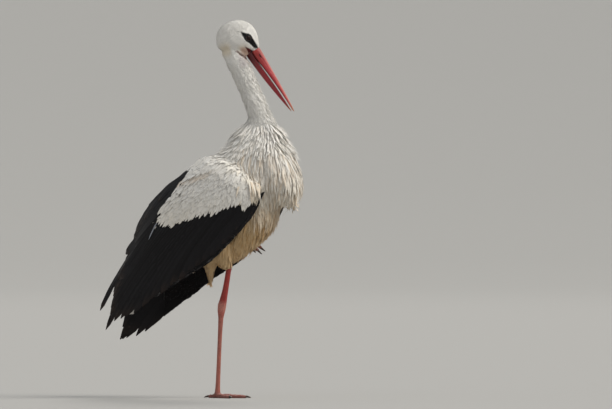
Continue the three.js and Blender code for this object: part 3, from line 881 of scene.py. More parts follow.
def bill():
    """Both halves of the bill: red, streaked darker at the root, horn-coloured at the tips, with a painted
    highlight along the upper ridge and painted shade along the cutting edges and in the nostrils.
    """
    made = {}
    for name, stations, deep_side, root_red, red in BILL_HALVES:
        piece = mandible(name, stations, deep_side)
        if deep_side > 0:
            nostrils(piece)
        modified(piece, "SUBSURF", levels=3, render_levels=3)
        points = places_of(piece) / MM
        if deep_side > 0:
            groove = np.exp(-((beside(points[:, [0, 2]], NASAL_GROOVE)[0] / GROOVE_HALF) ** 2))
            points[:, 1] -= np.sign(points[:, 1]) * GROOVE_DEPTH * groove * (np.abs(points[:, 1]) > 2)
            placed_at(piece, points * MM)
        rows = np.array(stations)
        top = np.interp(points[:, 0], rows[:, 0], rows[:, 1])
        half = np.interp(points[:, 0], rows[:, 0], rows[:, 3])
        tone = blend(root_red, red, smoothstep(*RED_FULL, points[:, 0]))
        # Painted highlight: the upper half is painted paler along its ridge, where light falls on it.
        pale = smoothstep(0.25, 0.02, (top - points[:, 2]) / np.maximum(top - 20, 4)) * (deep_side > 0)
        tone = blend(tone, RIDGE_HIGHLIGHT, 0.55 * pale)
        # Painted shade: both halves are painted darker along their cutting edges, where shade falls in the
        # gap between them.
        cutting = np.interp(points[:, 0], rows[:, 0], rows[:, 2 if deep_side > 0 else 1])
        edge = smoothstep(2.6, 0.4, np.abs(points[:, 2] - cutting))
        edge = edge * smoothstep(BILL_TIP, 120, points[:, 0])
        tone = blend(tone, np.array(root_red) * 0.35, 0.7 * edge)
        tone = blend(tone, HORN_BROWN, 0.75 * smoothstep(*HORN_TIP, points[:, 0]))
        # Painted shade: each nostril slit is painted dark, where shade falls inside it.
        if deep_side > 0:
            slit = np.hypot(
                (points[:, 0] - sum(NOSTRIL) / 2) / 6.5, (points[:, 2] - NOSTRIL_LEVEL) / 1.5)
            sunk = smoothstep(1.15, 0.7, slit) * (np.abs(points[:, 1]) < 0.93 * half)
            tone = blend(tone, NOSTRIL_SHADE, sunk)
        layer = piece.data.uv_layers.active or piece.data.uv_layers.new(name="Grain")
        layer.name = "Grain"
        corner = read(piece.data.loops, "vertex_index", 1, np.int32)
        around = np.arctan2(points[:, 2] - top + 8, np.abs(points[:, 1]) + 0.5)
        grain = np.stack([around, points[:, 0] / 100], axis=1)
        layer.data.foreach_set("uv", grain[corner].astype(np.float32).ravel())
        painted(piece, tone)
        piece.data.transform(HEAD)
        bpy.ops.object.shade_smooth()
        made[name] = piece
    return made


# ------------------------------------------------------------------ eyes and lids

EYE_RADIUS = 7.4
EYE_SUNK = 3.0                         # how much deeper than its solid each eyeball sits
IRIS = 4.9
PUPIL = 2.5
CORNEA = 0.5                           # how far the clear front stands out
GAZE = (0.16, 0.12)                    # how far an eye looks forward and to the crown, beside outwards
IRIS_BROWN = (0.034, 0.011, 0.006)
IRIS_DARK = (0.016, 0.005, 0.004)      # between its rays
EYE_DARK = (0.006, 0.004, 0.004)       # outside the iris
PUPIL_BLACK = (0.001, 0.001, 0.001)
IRIS_RAYS = 24

# Rings of the lids: distance from the eye's middle, height above it, share drawn down to the skin,
# where more than 1 goes under it.
LIDS = (
    (4.6, 5.3, 0), (4.75, 6.0, 0), (5.0, 6.35, 0), (5.3, 6.45, 0), (5.6, 6.2, 0), (5.95, 6.4, 0),
    (6.3, 6.05, 0), (6.6, 6.2, 0.05), (6.9, 5.9, 0.15), (7.3, 5.7, 0.4), (7.8, 5.2, 0.85),
    (8.6, 4.6, 1.12),
)
LID_CORNERS = 56
LID_LONG = 1.12                        # the opening is longer than high
LID_CORNER = 1.1                       # how far its front corner is drawn out
LID_WRINKLE = 0.2
LID_WRINKLES = 17
LID_BLACK = (0.010, 0.009, 0.010)
LID_RIM = (0.085, 0.072, 0.070)


def eye_matrix(side):
    """X forward and Z outward from the middle of an eyeball."""
    way = SIDES[side]
    gaze = Vector((GAZE[0], way, GAZE[1])).normalized()
    forward = Vector((0, 0, 1)).cross(gaze).normalized() * -way
    matrix = Matrix((forward, gaze.cross(forward), gaze)).transposed().to_4x4()
    matrix.translation = Vector((EYE_PLACE[0], way * (EYE_PLACE[2] - EYE_SUNK), EYE_PLACE[1])) * MM
    return HEAD @ matrix


def eyeball(side):
    """A dark wet eyeball with a brown iris, a pupil and a clear front that stands out a little."""
    pick_none()
    bpy.ops.mesh.primitive_uv_sphere_add(segments=48, ring_count=40, radius=EYE_RADIUS * MM)
    piece = bpy.context.object
    piece.name = f"eyeball_{side}"
    points = places_of(piece) / MM
    from_axis = np.hypot(points[:, 0], points[:, 1])
    front = points[:, 2] > 0
    points[:, 2] += CORNEA * front * smoothstep(IRIS + 0.6, 0, from_axis)
    placed_at(piece, points * MM)
    rays = 0.5 + 0.5 * np.sin(np.arctan2(points[:, 1], points[:, 0]) * IRIS_RAYS)
    iris = blend(IRIS_BROWN, IRIS_DARK, rays)
    tone = blend(iris, EYE_DARK, smoothstep(IRIS - 1.2, IRIS - 0.4, from_axis))
    tone = blend(tone, PUPIL_BLACK, front * smoothstep(PUPIL + 0.25, PUPIL - 0.25, from_axis))
    painted(piece, tone)
    piece.data.transform(eye_matrix(side))
    piece.data.update()
    bpy.ops.object.shade_smooth()
    return piece


def eyelids(side, surface):
    """Folded rings of bare skin round an eye, which run out into the skin of the head."""
    pick_none()
    radius, height, _ = LIDS[0]
    bpy.ops.mesh.primitive_circle_add(
        vertices=LID_CORNERS, radius=radius * MM, fill_type="NOTHING", location=(0, 0, height * MM))
    piece = bpy.context.object
    piece.name = f"eyelids_{side}"
    bpy.ops.object.transform_apply(location=True, rotation=True, scale=True)
    bpy.ops.object.mode_set(mode="EDIT")
    bpy.ops.mesh.select_mode(type="VERT")
    bpy.ops.mesh.select_all(action="SELECT")
    for (radius, height, _), (wider, level, _) in zip(LIDS[:-1], LIDS[1:]):
        extruded((0, 0, (level - height) * MM), (wider / radius, wider / radius, 1))
    edit_done()
    points = places_of(piece) / MM
    radius = np.hypot(points[:, 0], points[:, 1])
    angle = np.arctan2(points[:, 1], points[:, 0])
    shares = np.interp(radius, [ring[0] for ring in LIDS], [ring[2] for ring in LIDS])
    points[:, 0] *= 1 + (LID_LONG - 1) * smoothstep(12, 5, radius)
    points[:, 0] += LID_CORNER * np.cos(angle) ** 5 * smoothstep(9, 5.4, radius)
    wrinkled = smoothstep(5.0, 6.4, radius) * smoothstep(11, 8, radius)
    points[:, 2] += LID_WRINKLE * np.sin(angle * LID_WRINKLES + radius) * wrinkled
    matrix = eye_matrix(side)
    world = points * MM @ np.array(matrix)[:3, :3].T + np.array(matrix)[:3, 3]
    held, normals, _ = surface.nearest(world)
    held = held - normals * 0.5 * MM * (shares > 1)[:, None]
    placed_at(piece, blend(world, held, np.minimum(shares, 1)))
    modified(piece, "SUBSURF", levels=1, render_levels=1)
    faced_out()
    outward = Vector(matrix.col[2][:3])
    facing = sum(face.normal.dot(outward) * face.area for face in piece.data.polygons)
    if facing < 0:
        piece.data.flip_normals()
    turned_back = np.array(matrix.inverted())
    points = (places_of(piece) @ turned_back[:3, :3].T + turned_back[:3, 3]) / MM
    from_eye_middle = np.hypot(points[:, 0] / LID_LONG, points[:, 1])
    painted(piece, blend(LID_BLACK, LID_RIM, smoothstep(6.2, 5.3, from_eye_middle)))
    return piece


# ------------------------------------------------------------------ wings

FACE_STEP = 5                          # of the grid that holds a wing's outer face
FACE_MARGIN = 60                       # how far the grid goes on past the wing
FAR_OUT = 300 * MM                     # where the rays that find that face start
WRIST_EDGE = 5                         # how near a covert may come to the wing's front edge
WING_SAG = 47                          # how much lower the left wing's tip hangs than the right one's
WING_SLIP = 17                         # and how much further back it reaches
SAG_START = 20                         # behind this x the left wing begins to hang
SAG_RUN = 270                          # from there to its tip


class WingFace:
    """The outer face of a folded wing: how far out it lies at each [x, z], carried on past its edges."""

    def __init__(self, side):
        names = [f"wing_{side}_{part}" for part in ("coverts", "secondaries", "primaries")]
        panel = merged_copy(names, "panel")
        tree = Surface(panel).tree
        corners = np.array([list(corner) for corner in panel.bound_box]) / MM
        bpy.data.objects.remove(panel)
        self.way = SIDES[side]
        self.low = corners.min(0)[[0, 2]] - FACE_MARGIN
        size = (corners.max(0)[[0, 2]] + FACE_MARGIN - self.low) / FACE_STEP
        self.out = np.full(size.astype(int) + 1, np.nan)
        for i, j in np.ndindex(self.out.shape):
            x, z = (self.low + np.array((i, j)) * FACE_STEP) * MM
            hit = tree.ray_cast(Vector((x, self.way * FAR_OUT, z)), Vector((0, -self.way, 0)))
            if hit[0] is not None:
                self.out[i, j] = abs(hit[0].y) / MM
        self.solid = ~np.isnan(self.out)
        while np.isnan(self.out).any():
            self.carry_on()
        for _ in range(2):
            self.soften()

    def carry_on(self):
        """Fills the cells next to the known ones, going on at most of the slope they have."""
        total = np.zeros(self.out.shape)
        count = np.zeros(self.out.shape)
        for way in ((1, 0), (-1, 0), (0, 1), (0, -1)):
            near = self.moved(way)
            beyond = self.moved((2 * way[0], 2 * way[1]))
            guess = np.where(np.isnan(beyond), near, near + 0.7 * np.clip(near - beyond, -2.2, 2.2))
            total += np.nan_to_num(guess)
            count += ~np.isnan(guess)
        fill = np.isnan(self.out) & (count > 0)
        self.out[fill] = total[fill] / count[fill]

    def moved(self, way):
        wide = np.pad(self.out, 2, constant_values=np.nan)
        rows, columns = self.out.shape
        return wide[2 + way[0]:2 + way[0] + rows, 2 + way[1]:2 + way[1] + columns]

    def soften(self):
        wide = np.pad(self.out, 1, mode="edge")
        sides = wide[:-2, 1:-1] + wide[2:, 1:-1] + wide[1:-1, :-2] + wide[1:-1, 2:]
        self.out = (sides + 4 * self.out) / 8

    def covers(self, flat):
        """Whether the wing lies over places [x, z]."""
        cell = ((flat - self.low) / FACE_STEP).round().astype(int)
        cell = np.clip(cell, 0, np.array(self.solid.shape) - 1)
        return self.solid[tuple(np.moveaxis(cell, -1, 0))]

    def outward(self, flat):
        """How far out the face lies at places [x, z] in millimetres."""
        place = (flat - self.low) / FACE_STEP
        place = np.clip(place, 0, np.array(self.out.shape) - 1.001)
        cell = place.astype(int)
        (i, j), (s, t) = np.moveaxis(cell, -1, 0), np.moveaxis(place - cell, -1, 0)
        return (
            self.out[i, j] * (1 - s) * (1 - t) + self.out[i + 1, j] * s * (1 - t)
            + self.out[i, j + 1] * (1 - s) * t + self.out[i + 1, j + 1] * s * t
        )

    def placed(self, flat, off):
        """Places in the round, `off` millimetres outside the wing's face."""
        y = self.way * (self.outward(flat) + off)
        return np.stack([flat[..., 0], y, flat[..., 1]], axis=-1) * MM


def sagged(flat, side):
    """Moves places [x, z] of the right wing to where they lie on this side's wing."""
    flat = np.array(flat, float)
    if SIDES[side] > 0:
        back = np.clip((SAG_START - flat[..., 0]) / SAG_RUN, 0, 1)
        flat[..., 0] -= WING_SLIP * back ** 3
        flat[..., 1] -= WING_SAG * back ** 1.6
    return flat


def wing_vanes(face, paths, half, shares, across, off, crown=1.0):
    """Vanes that lie on a wing's face along `paths` (feathers, steps, 2), each `off` outside it."""
    along = unit(np.gradient(paths, axis=1))
    sideways = np.stack([-along[..., 1], along[..., 0]], axis=-1)
    places, heights = across
    width = (half[:, None] * shares)[..., None]
    flat = paths[:, :, None] + sideways[:, :, None] * (width * np.asarray(places))[..., None]
    raised = off[..., None] + crown * np.minimum(width * np.asarray(heights), 2.2)
    return face.placed(flat, raised)


def bowed(root, tip, bow, t):
    """Paths from root to tip, bowed up and back by `bow` of their length."""
    run = tip - root
    aside = np.stack([run[:, 1], -run[:, 0]], axis=1)
    middle = (root + tip) / 2 + aside * bow[:, None]
    t = t[None, :, None]
    return root[:, None] * (1 - t) ** 2 + 2 * middle[:, None] * t * (1 - t) + tip[:, None] * t ** 2


# Flight feathers of the wing: root and tip as [x, z] on the right wing, half its width, and how much
# each bows. The first are the outermost primaries, folded lowest; the last are the inner secondaries.
FLIGHT = (
    ((146, 474), (118, 420), 3, -0.04),
    ((141, 470), (92, 388), 6, -0.05),
    ((136, 462), (70, 370), 8, -0.04),
    ((128, 454), (48, 352), 9, -0.02),
    ((116, 446), (20, 330), 10, 0.0),
    ((100, 442), (-12, 306), 11, 0.02),
    ((80, 440), (-44, 282), 12, 0.03),
    ((58, 438), (-84, 256), 13, 0.04),
    ((36, 434), (-128, 230), 13, 0.05),
    ((14, 428), (-168, 202), 13, 0.05),
    ((-8, 420), (-205, 184), 13, 0.05),
    ((-28, 412), (-233, 176), 12, 0.05),
    ((-48, 408), (-248, 178), 12, 0.05),
    ((-66, 402), (-245, 188), 12, 0.05),
    ((-84, 398), (-243, 208), 12, 0.05),
    ((-100, 398), (-237, 234), 12, 0.04),
    ((-112, 402), (-226, 262), 12, 0.03),
    ((-116, 412), (-215, 292), 13, 0.02),
    ((-112, 426), (-218, 330), 14, 0.0),
)

# The tertials that close the wing's upper edge, over the rest. The first, the narrowest, stands apart
# from the others at the wing's rear.
TERTIALS = (
    ((-150, 398), (-277, 201), 7.5, 0.05),
    ((-120, 420), (-231, 256), 11, 0.03),
    ((-112, 435), (-225, 285), 12, 0.04),
    ((-106, 446), (-207, 314), 12, 0.06),
    ((-100, 456), (-197, 341), 12, 0.09),
    ((-92, 466), (-197, 359), 12, 0.12),
    ((-76, 482), (-193, 380), 13, 0.16),
    ((-60, 498), (-180, 397), 11, 0.19),
    ((-48, 509), (-158, 424), 10, 0.20),
    ((-38, 518), (-131, 453), 8, 0.18),
)

# Each set of black vanes: name, rows, feathers grown for each row, how far outside the wing's face the
# first lies and how much further out each next one.
VANE_SETS = (
    ("flight", FLIGHT, 1.7, -3.4, 0.1),
    ("tertial", TERTIALS, 1.3, -2.2, 0.12),
)

# The ragged hem of the white coverts over the flight feathers, from wrist to rear.
COVERT_HEM = (
    (137, 496), (127, 476), (119, 452), (110, 432), (96, 437), (76, 438), (52, 428), (28, 418), (8, 421),
    (-16, 411), (-38, 402), (-64, 398), (-84, 390), (-110, 390), (-141, 398),
)
# Where the white coverts end at the rear and the black tertials begin.
COVERT_REAR = ((-138, 396), (-124, 428), (-103, 453), (-84, 474), (-64, 494), (-50, 512))
REAR_SLACK = {"right": -4, "left": 9}  # how far ahead of that line their tips stay
# The lower edge of the fluffy white feathers that fall from the back over the wing's top.
SCAPULAR_HEM = (
    (-72, 494), (-50, 500), (-30, 505), (-4, 511), (22, 519), (54, 528), (84, 540), (112, 548),
)
# Two barbs of one grey feather astray in the black: roots and tips.
ASTRAY_ROOTS = ((-120, 402), (-124, 398))
ASTRAY_TIPS = ((-141, 363), (-138, 368))
ASTRAY_HALF = (1.5, 1.1)
ASTRAY_OFF = 2.4                       # how far outside the wing's face it lies


def flight(side, face, coat, kind, rows, per_row, first_off, layer, material):
    """One set of black vanes on a wing's face, each laid a little further out than the last."""
    table = np.array([[*root, *tip, half, bow] for root, tip, half, bow in rows], float)
    count = int(len(rows) * per_row)
    table = spline(table, np.linspace(0, 1, count))
    steps = np.linspace(0, 1, 15) ** 0.9
    tip = table[:, 2:4] + rng.normal(0, 1.8, (count, 2))
    paths = sagged(bowed(table[:, :2], tip, table[:, 5], steps), side)
    shares = np.interp(steps, *VANE_OUTLINE)
    shares = shares * (1 + rng.normal(0, 0.03, (count, len(steps))) * smoothstep(0.3, 1, steps))
    off = first_off + layer * np.arange(count)[:, None] + 2.0 * steps ** 2
    points = wing_vanes(face, paths, table[:, 4], shares, SEVEN, off)
    tone = tinted(np.tile(np.array(BLACK), (count, 1)), steps, 0.9, 1.5, 0.12)
    worn = smoothstep(0.86, 1.0, steps)[None, :, None] * rng.uniform(0.1, 0.5, (count, 1, 1))
    tone = tone + worn * (np.array(BROWN) * 0.35 - tone)
    roots = points[:, 0, len(SEVEN[0]) // 2]
    return feather_mesh(f"wing_{side}_{kind}_feathers", points, tone, coat.unwrap.places(roots), material)


def covert_rows(side, face, hem, rows, spacing, length, half, off, flows, ruffle):
    """Rows of small white feathers up a wing from a hem: `rows` says how far up each row of tips lies,
    `flows` which way they point at the wrist and at the rear. Returns their places and their steps."""
    steps, shares = np.array(POINTED)
    grown = []
    line = np.array(hem, float)
    run = np.linalg.norm(np.diff(line, axis=0), axis=1).sum()
    for k, up in enumerate(rows):
        near = 1 - min(k / 6, 1)
        count = int(run / (spacing * (0.6 + 0.4 * near)))
        at = (np.arange(count) + 0.5 * (k % 2) + rng.uniform(-0.3, 0.3, count)) / count
        back = smoothstep(0, 1, at if hem[0][0] > 0 else 1 - at)[:, None]
        flow = unit(np.array(flows[0]) * (1 - back) + np.array(flows[1]) * back)
        flow = unit(flow + rng.normal(0, 0.06, (count, 1)) * np.stack([-flow[:, 1], flow[:, 0]], 1))
        long = length * (0.55 + 0.45 * near) * (1 + rng.normal(0, 0.1, count))
        tip = spline(hem, at) - flow * (up + rng.normal(0, ruffle, count)[:, None])
        root = tip - flow * long[:, None]
        path = sagged(bowed(root, tip, rng.normal(0, 0.05, count), steps), side)
        steep = np.ptp(face.outward(path), axis=1) > 0.4 * length
        ahead = face.covers(path + (WRIST_EDGE, 0)).all(1)
        rear = np.array(COVERT_REAR, float)
        within = tip[:, 0] > np.interp(tip[:, 1], rear[:, 1], rear[:, 0]) + REAR_SLACK[side]
        path = path[face.covers(path[:, 1:4]).all(1) & ahead & within & ~steep]
        count = len(path)
        if not count:
            continue
        wide = half * (0.68 + 0.32 * near) * (1 + rng.normal(0, 0.12, count))
        lift = rng.normal(0, 0.3, count)[:, None] + (off + 3.4 * steps ** 1.1)[None] + 0.07 * k
        grown.append(wing_vanes(face, path, wide, np.tile(shares, (count, 1)), FIVE, lift))
    return np.concatenate(grown), steps


def wing_whites(side, face, coat, material):
    """The white coverts, the fluffy scapulars over them, one grey feather astray in the black, and a brown
    line on the coverts under the scapulars' hem, partly stain and partly their painted shadow.
    """
    coverts, steps = covert_rows(
        side, face, COVERT_HEM, rows=range(0, 165, 9), spacing=7.2, length=46, half=4.3, off=-2.9,
        flows=((-0.12, -1.0), (-0.62, -0.78)), ruffle=3.6)
    scapulars, _ = covert_rows(
        side, face, SCAPULAR_HEM, rows=range(0, 60, 7), spacing=6.0, length=42, half=3.8, off=-0.6,
        flows=((-0.2, -1.0), (-0.66, -0.75)), ruffle=3.4)
    root, tip = np.array(ASTRAY_ROOTS, float), np.array(ASTRAY_TIPS, float)
    path = sagged(bowed(root, tip, np.array((0.04, 0.02)), steps), side)
    lift = np.full((len(root), len(steps)), ASTRAY_OFF)
    shares = np.tile(POINTED[1], (len(root), 1))
    astray = wing_vanes(face, path, np.array(ASTRAY_HALF), shares, FIVE, lift)
    made = []
    for name, points in ((f"wing_{side}_covert_feathers", coverts),
                         (f"wing_{side}_scapular_feathers", np.concatenate([scapulars, astray]))):
        roots = points[:, 0, 2]
        # The coverts just under the scapulars' hem are painted brown, partly for stains and partly as the
        # scapulars' painted shadow.
        gap, run = beside(points[:, 2, 2][:, [0, 2]] / MM, sagged(SCAPULAR_HEM, side))
        stain_and_shadow = smoothstep(11, 2, gap) * smoothstep(0.75, 0.45, run) * ("covert" in name)
        shade = 0.96 - 0.07 * smoothstep(0.5, 1, rng.random(len(roots)))[:, None]
        low = smoothstep(500, 400, roots[:, 2] / MM)
        base = blend(np.array(WHITE) * shade, CREAM, 0.35 * low + 0.2 * rng.random(len(roots)))
        base = blend(base, STAIN_AND_SHADOW_BROWN, 0.5 * stain_and_shadow * rng.uniform(0.3, 1, len(roots)))
        if "scapular" in name:
            base[-len(astray):] = ASTRAY_GREY
        piece = feather_mesh(
            name, points, tinted(base, steps, 0.88, 1.03, 0.04), coat.unwrap.places(roots), material)
        made.append(piece)
    return made


# ------------------------------------------------------------------ tail

TAIL_ROOT = (-122, 372)                # [x, z] of where its feathers start and end
TAIL_TIP = (-197, 214)
TAIL_FEATHERS = 12
TAIL_OUTLINE = ((0, 0.85, 0.96, 1), (1, 1, 0.75, 0.3))
TAIL_SPREAD = (10, 23)                 # half the tail's width at its root, and what it gains to the tip
TAIL_DEEP = 12                         # how far from the middle its surface is looked for


def tail_feathers(coat, source, material):
    """White tail feathers laid like tiles over the upper face of the tail, and as many under it."""
    steps = np.linspace(0, 1, 11)
    root, tip = np.array(TAIL_ROOT, float), np.array(TAIL_TIP, float)
    run = unit((tip - root)[None])[0]
    up_face = np.array((-abs(run[1]), 0, abs(run[0])))
    grown = []
    for way in (1, -1):
        for k in range(TAIL_FEATHERS):
            aside = (k / (TAIL_FEATHERS - 1) - 0.5) * 2
            y = aside * (TAIL_SPREAD[0] + TAIL_SPREAD[1] * steps) + 1.2 * rng.normal()
            reach = 1 - 0.05 * aside ** 2 + 0.012 * rng.normal()
            flat = root + (tip - root) * (steps * reach)[:, None]
            middle = np.stack([flat[:, 0], y, flat[:, 1]], axis=1) * MM
            off = []
            for place in middle.tolist():
                hit = source.tree.ray_cast(Vector(place), Vector((up_face * way).tolist()))
                found = hit[0] is not None and hit[3] < TAIL_DEEP * MM
                off.append(hit[3] / MM if found else np.nan)
            off = np.array(off)
            known = ~np.isnan(off)
            off = np.interp(steps, steps[known], off[known]) if known.any() else np.full(len(steps), 2.0)
            off = off - 1.6 + 1.4 * (1 - abs(aside)) * steps
            half = (5 + 6.5 * smoothstep(0, 0.5, steps)) * np.interp(steps, *TAIL_OUTLINE)
            side = np.array((0, 1, 0)) * way
            places, heights = np.array(SEVEN)
            vane = middle[:, None] + (half[:, None] * places)[..., None] * side * MM
            raise_by = off[:, None] + half[:, None] * heights
            grown.append(vane + raise_by[..., None] * up_face * way * MM)
    points = np.stack(grown)
    count = len(points)
    tone = tinted(np.tile(np.array(WHITE) * 0.97, (count, 1)), steps, 0.9, 1.02, 0.03)
    roots = points[:, 0, len(SEVEN[0]) // 2]
    return feather_mesh("tail_feathers", points, tone, coat.unwrap.places(roots), material)


# ------------------------------------------------------------------ finishes

def finish(name, roughness, specular=0.4, sheen=0.0):
    """A new material with its shader's plain numbers set; returns it, its nodes and its shader."""
    material = bpy.data.materials.new(name)
    material.use_nodes = True
    nodes = material.node_tree.nodes
    shader = nodes["Principled BSDF"]
    shader.inputs["Roughness"].default_value = roughness
    shader.inputs["Specular IOR Level"].default_value = specular
    shader.inputs["Sheen Weight"].default_value = sheen
    return material, nodes, shader


def node(nodes, kind, **settings):
    """A node with its settings, or with values on the inputs that have their names."""
    made = nodes.new(kind)
    for name, value in settings.items():
        if hasattr(made, name):
            setattr(made, name, value)
        else:
            made.inputs[name].default_value = value
    return made


def link(nodes, source, target):
    nodes.id_data.links.new(source, target)


def sums(nodes, operation, first, second=0):
    """A Math node of two values, each a number or a socket."""
    made = nodes.new("ShaderNodeMath")
    made.operation = operation
    for socket, value in zip(made.inputs, (first, second)):
        if isinstance(value, (int, float)):
            socket.default_value = value
        else:
            link(nodes, value, socket)
    return made.outputs[0]


def shaded(nodes, colour, amount, low, high):
    """A colour made darker or lighter by a pattern that runs from 0 to 1."""
    scale = node(nodes, "ShaderNodeMapRange")
    scale.inputs["To Min"].default_value = low
    scale.inputs["To Max"].default_value = high
    link(nodes, amount, scale.inputs["Value"])
    made = node(nodes, "ShaderNodeVectorMath", operation="SCALE")
    link(nodes, colour, made.inputs[0])
    link(nodes, scale.outputs["Result"], made.inputs["Scale"])
    return made.outputs[0]


def bumped(nodes, shader, height, distance, strength=1.0):
    bump = node(nodes, "ShaderNodeBump", Distance=distance, Strength=strength)
    link(nodes, height, bump.inputs["Height"])
    link(nodes, bump.outputs["Normal"], shader.inputs["Normal"])


def grained(nodes, vector, scale, detail=3.0, roughness=0.6):
    noise = node(nodes, "ShaderNodeTexNoise", Scale=scale, Detail=detail, Roughness=roughness)
    link(nodes, vector, noise.inputs["Vector"])
    return noise.outputs["Fac"]


def blotched(nodes, scale, detail=3.0):
    """A noise through the piece itself."""
    return grained(nodes, node(nodes, "ShaderNodeTexCoord").outputs["Object"], scale, detail)


def toned(nodes):
    """The colours that `painted` gave the piece."""
    return node(nodes, "ShaderNodeAttribute", attribute_name="Tone").outputs["Color"]


def feather_finish(name, roughness, specular, sheen, barbs, slant, contrast, relief):
    """Feathers: barbs slant out from the shaft on each vane; `barbs` says how many lie along it."""
    material, nodes, shader = finish(name, roughness, specular, sheen)
    vane = node(nodes, "ShaderNodeUVMap", uv_map="Vane")
    parts = node(nodes, "ShaderNodeSeparateXYZ")
    link(nodes, vane.outputs["UV"], parts.inputs[0])
    from_shaft = sums(nodes, "ABSOLUTE", sums(nodes, "SUBTRACT", parts.outputs["X"], 0.5))
    along = sums(nodes, "SUBTRACT", parts.outputs["Y"], sums(nodes, "MULTIPLY", from_shaft, slant))
    together = node(nodes, "ShaderNodeCombineXYZ")
    link(nodes, sums(nodes, "MULTIPLY", along, barbs), together.inputs["X"])
    link(nodes, sums(nodes, "MULTIPLY", from_shaft, 1.5), together.inputs["Y"])
    split = grained(nodes, together.outputs[0], 1.0, 3.0, 0.65)
    shaft = sums(nodes, "LESS_THAN", from_shaft, 0.03)
    colour = shaded(nodes, toned(nodes), split, 1 - contrast, 1 + contrast)
    colour = shaded(nodes, colour, blotched(nodes, 55.0), 0.93, 1.06)
    colour = shaded(nodes, colour, shaft, 1.0, 0.9)
    link(nodes, colour, shader.inputs["Base Color"])
    height = sums(nodes, "ADD", split, sums(nodes, "MULTIPLY", shaft, 0.6))
    bumped(nodes, shader, height, relief * MM)
    return material


# Name, roughness, specular, sheen, barbs along the vane, their slant, contrast and relief.
FEATHER_FINISHES = (
    ("down", 0.85, 0.15, 0.15, 9.0, 0.5, 0.14, 0.35),
    ("flight_feather", 0.5, 0.16, 0.0, 60.0, 0.35, 0.35, 0.25),
    ("fine_down", 0.85, 0.12, 0.15, 4.0, 0.5, 0.05, 0.08),
    ("tail_feather", 0.7, 0.25, 0.1, 50.0, 0.35, 0.10, 0.25),
)


def skin_finish():
    """Soft skin under the plumage, and the bare skin round the eye and gape."""
    material, nodes, shader = finish("skin", 0.66, 0.2)
    folds = blotched(nodes, 420.0, 4.0)
    link(nodes, shaded(nodes, toned(nodes), folds, 0.7, 1.15), shader.inputs["Base Color"])
    bumped(nodes, shader, folds, 0.5 * MM)
    return material


def leg_finish():
    """Bare legs: small scales in a net, darker towards the grooves between them and paler on their tops.
    """
    material, nodes, shader = finish("leg_scales", 0.46, 0.45)
    place = node(nodes, "ShaderNodeTexCoord")
    squash = node(nodes, "ShaderNodeMapping")
    squash.inputs["Scale"].default_value = (1, 1, 0.72)
    link(nodes, place.outputs["Object"], squash.inputs["Vector"])
    scales = node(nodes, "ShaderNodeTexVoronoi", feature="DISTANCE_TO_EDGE", Scale=330.0, Randomness=0.75)
    link(nodes, squash.outputs[0], scales.inputs["Vector"])
    grooves = node(nodes, "ShaderNodeMapRange")
    grooves.inputs["From Max"].default_value = 0.16
    link(nodes, scales.outputs["Distance"], grooves.inputs["Value"])
    colour = shaded(nodes, toned(nodes), grooves.outputs[0], 0.62, 1.05)
    colour = shaded(nodes, colour, blotched(nodes, 60.0, 4.0), 0.66, 1.3)
    link(nodes, colour, shader.inputs["Base Color"])
    bumped(nodes, shader, grooves.outputs[0], 0.35 * MM)
    return material


def bill_finish():
    """Red horn with fine streaks along it, darker and rougher at the root."""
    material, nodes, shader = finish("bill_horn", 0.30, 0.5)
    grain = node(nodes, "ShaderNodeUVMap", uv_map="Grain")
    stretch = node(nodes, "ShaderNodeMapping")
    stretch.inputs["Scale"].default_value = (7, 9, 1)
    link(nodes, grain.outputs["UV"], stretch.inputs["Vector"])
    streaks = grained(nodes, stretch.outputs[0], 1.0, 5.0, 0.7)
    blotches = blotched(nodes, 120.0)
    colour = shaded(nodes, toned(nodes), streaks, 0.3, 1.6)
    colour = shaded(nodes, colour, blotches, 0.6, 1.35)
    link(nodes, colour, shader.inputs["Base Color"])
    rough = sums(nodes, "ADD", sums(nodes, "MULTIPLY", streaks, 0.25), 0.2)
    link(nodes, rough, shader.inputs["Roughness"])
    height = sums(nodes, "ADD", streaks, sums(nodes, "MULTIPLY", blotches, 0.5))
    bumped(nodes, shader, height, 0.35 * MM)
    return material


def eye_finish():
    """A wet eye under a clear front."""
    material, nodes, shader = finish("eye", 0.25, 0.05)
    shader.inputs["Coat Weight"].default_value = 0.3
    shader.inputs["Coat Roughness"].default_value = 0.02
    flecks = blotched(nodes, 1500.0, 2.0)
    link(nodes, shaded(nodes, toned(nodes), flecks, 0.6, 1.5), shader.inputs["Base Color"])
    return material


def claw_finish():
    """Dark horn, paler where it is worn, with fine lines."""
    material, nodes, shader = finish("claw_horn", 0.38, 0.5)
    lines = blotched(nodes, 260.0, 4.0)
    ramp = node(nodes, "ShaderNodeValToRGB")
    for stop, position, colour in zip(ramp.color_ramp.elements, (0.35, 0.75), (CLAW_DARK, CLAW_WORN)):
        stop.position = position
        stop.color = (*colour, 1)
    link(nodes, lines, ramp.inputs["Fac"])
    link(nodes, ramp.outputs["Color"], shader.inputs["Base Color"])
    bumped(nodes, shader, lines, 0.2 * MM)
    return material


# ------------------------------------------------------------------ stage, light and camera

# Sizes in this part are in metres.
VIEW_TURN = math.radians(22)           # the camera's way round the bird
VIEW_WIDTH = 1.4076                    # how much of the bird's plane the frame spans
VIEW_ACROSS = 0.2036                   # the middle of the frame, across and above the standing foot
VIEW_HEIGHT = 0.445
VIEW_DISTANCE = 20
VIEW_END = 400                         # how far the camera sees
FLOOR_FLAT = 26                        # how far the floor runs level before it curves up
FLOOR_CURVE = 30                       # radius of that curve
FLOOR_RINGS = 14
FLOOR_RING_TURN = 5.5                  # degrees of it from ring to ring
FLOOR_GREY = (0.34, 0.336, 0.325)
SKY = (0.84, 0.88, 0.94)
SKY_STRENGTH = 0.45

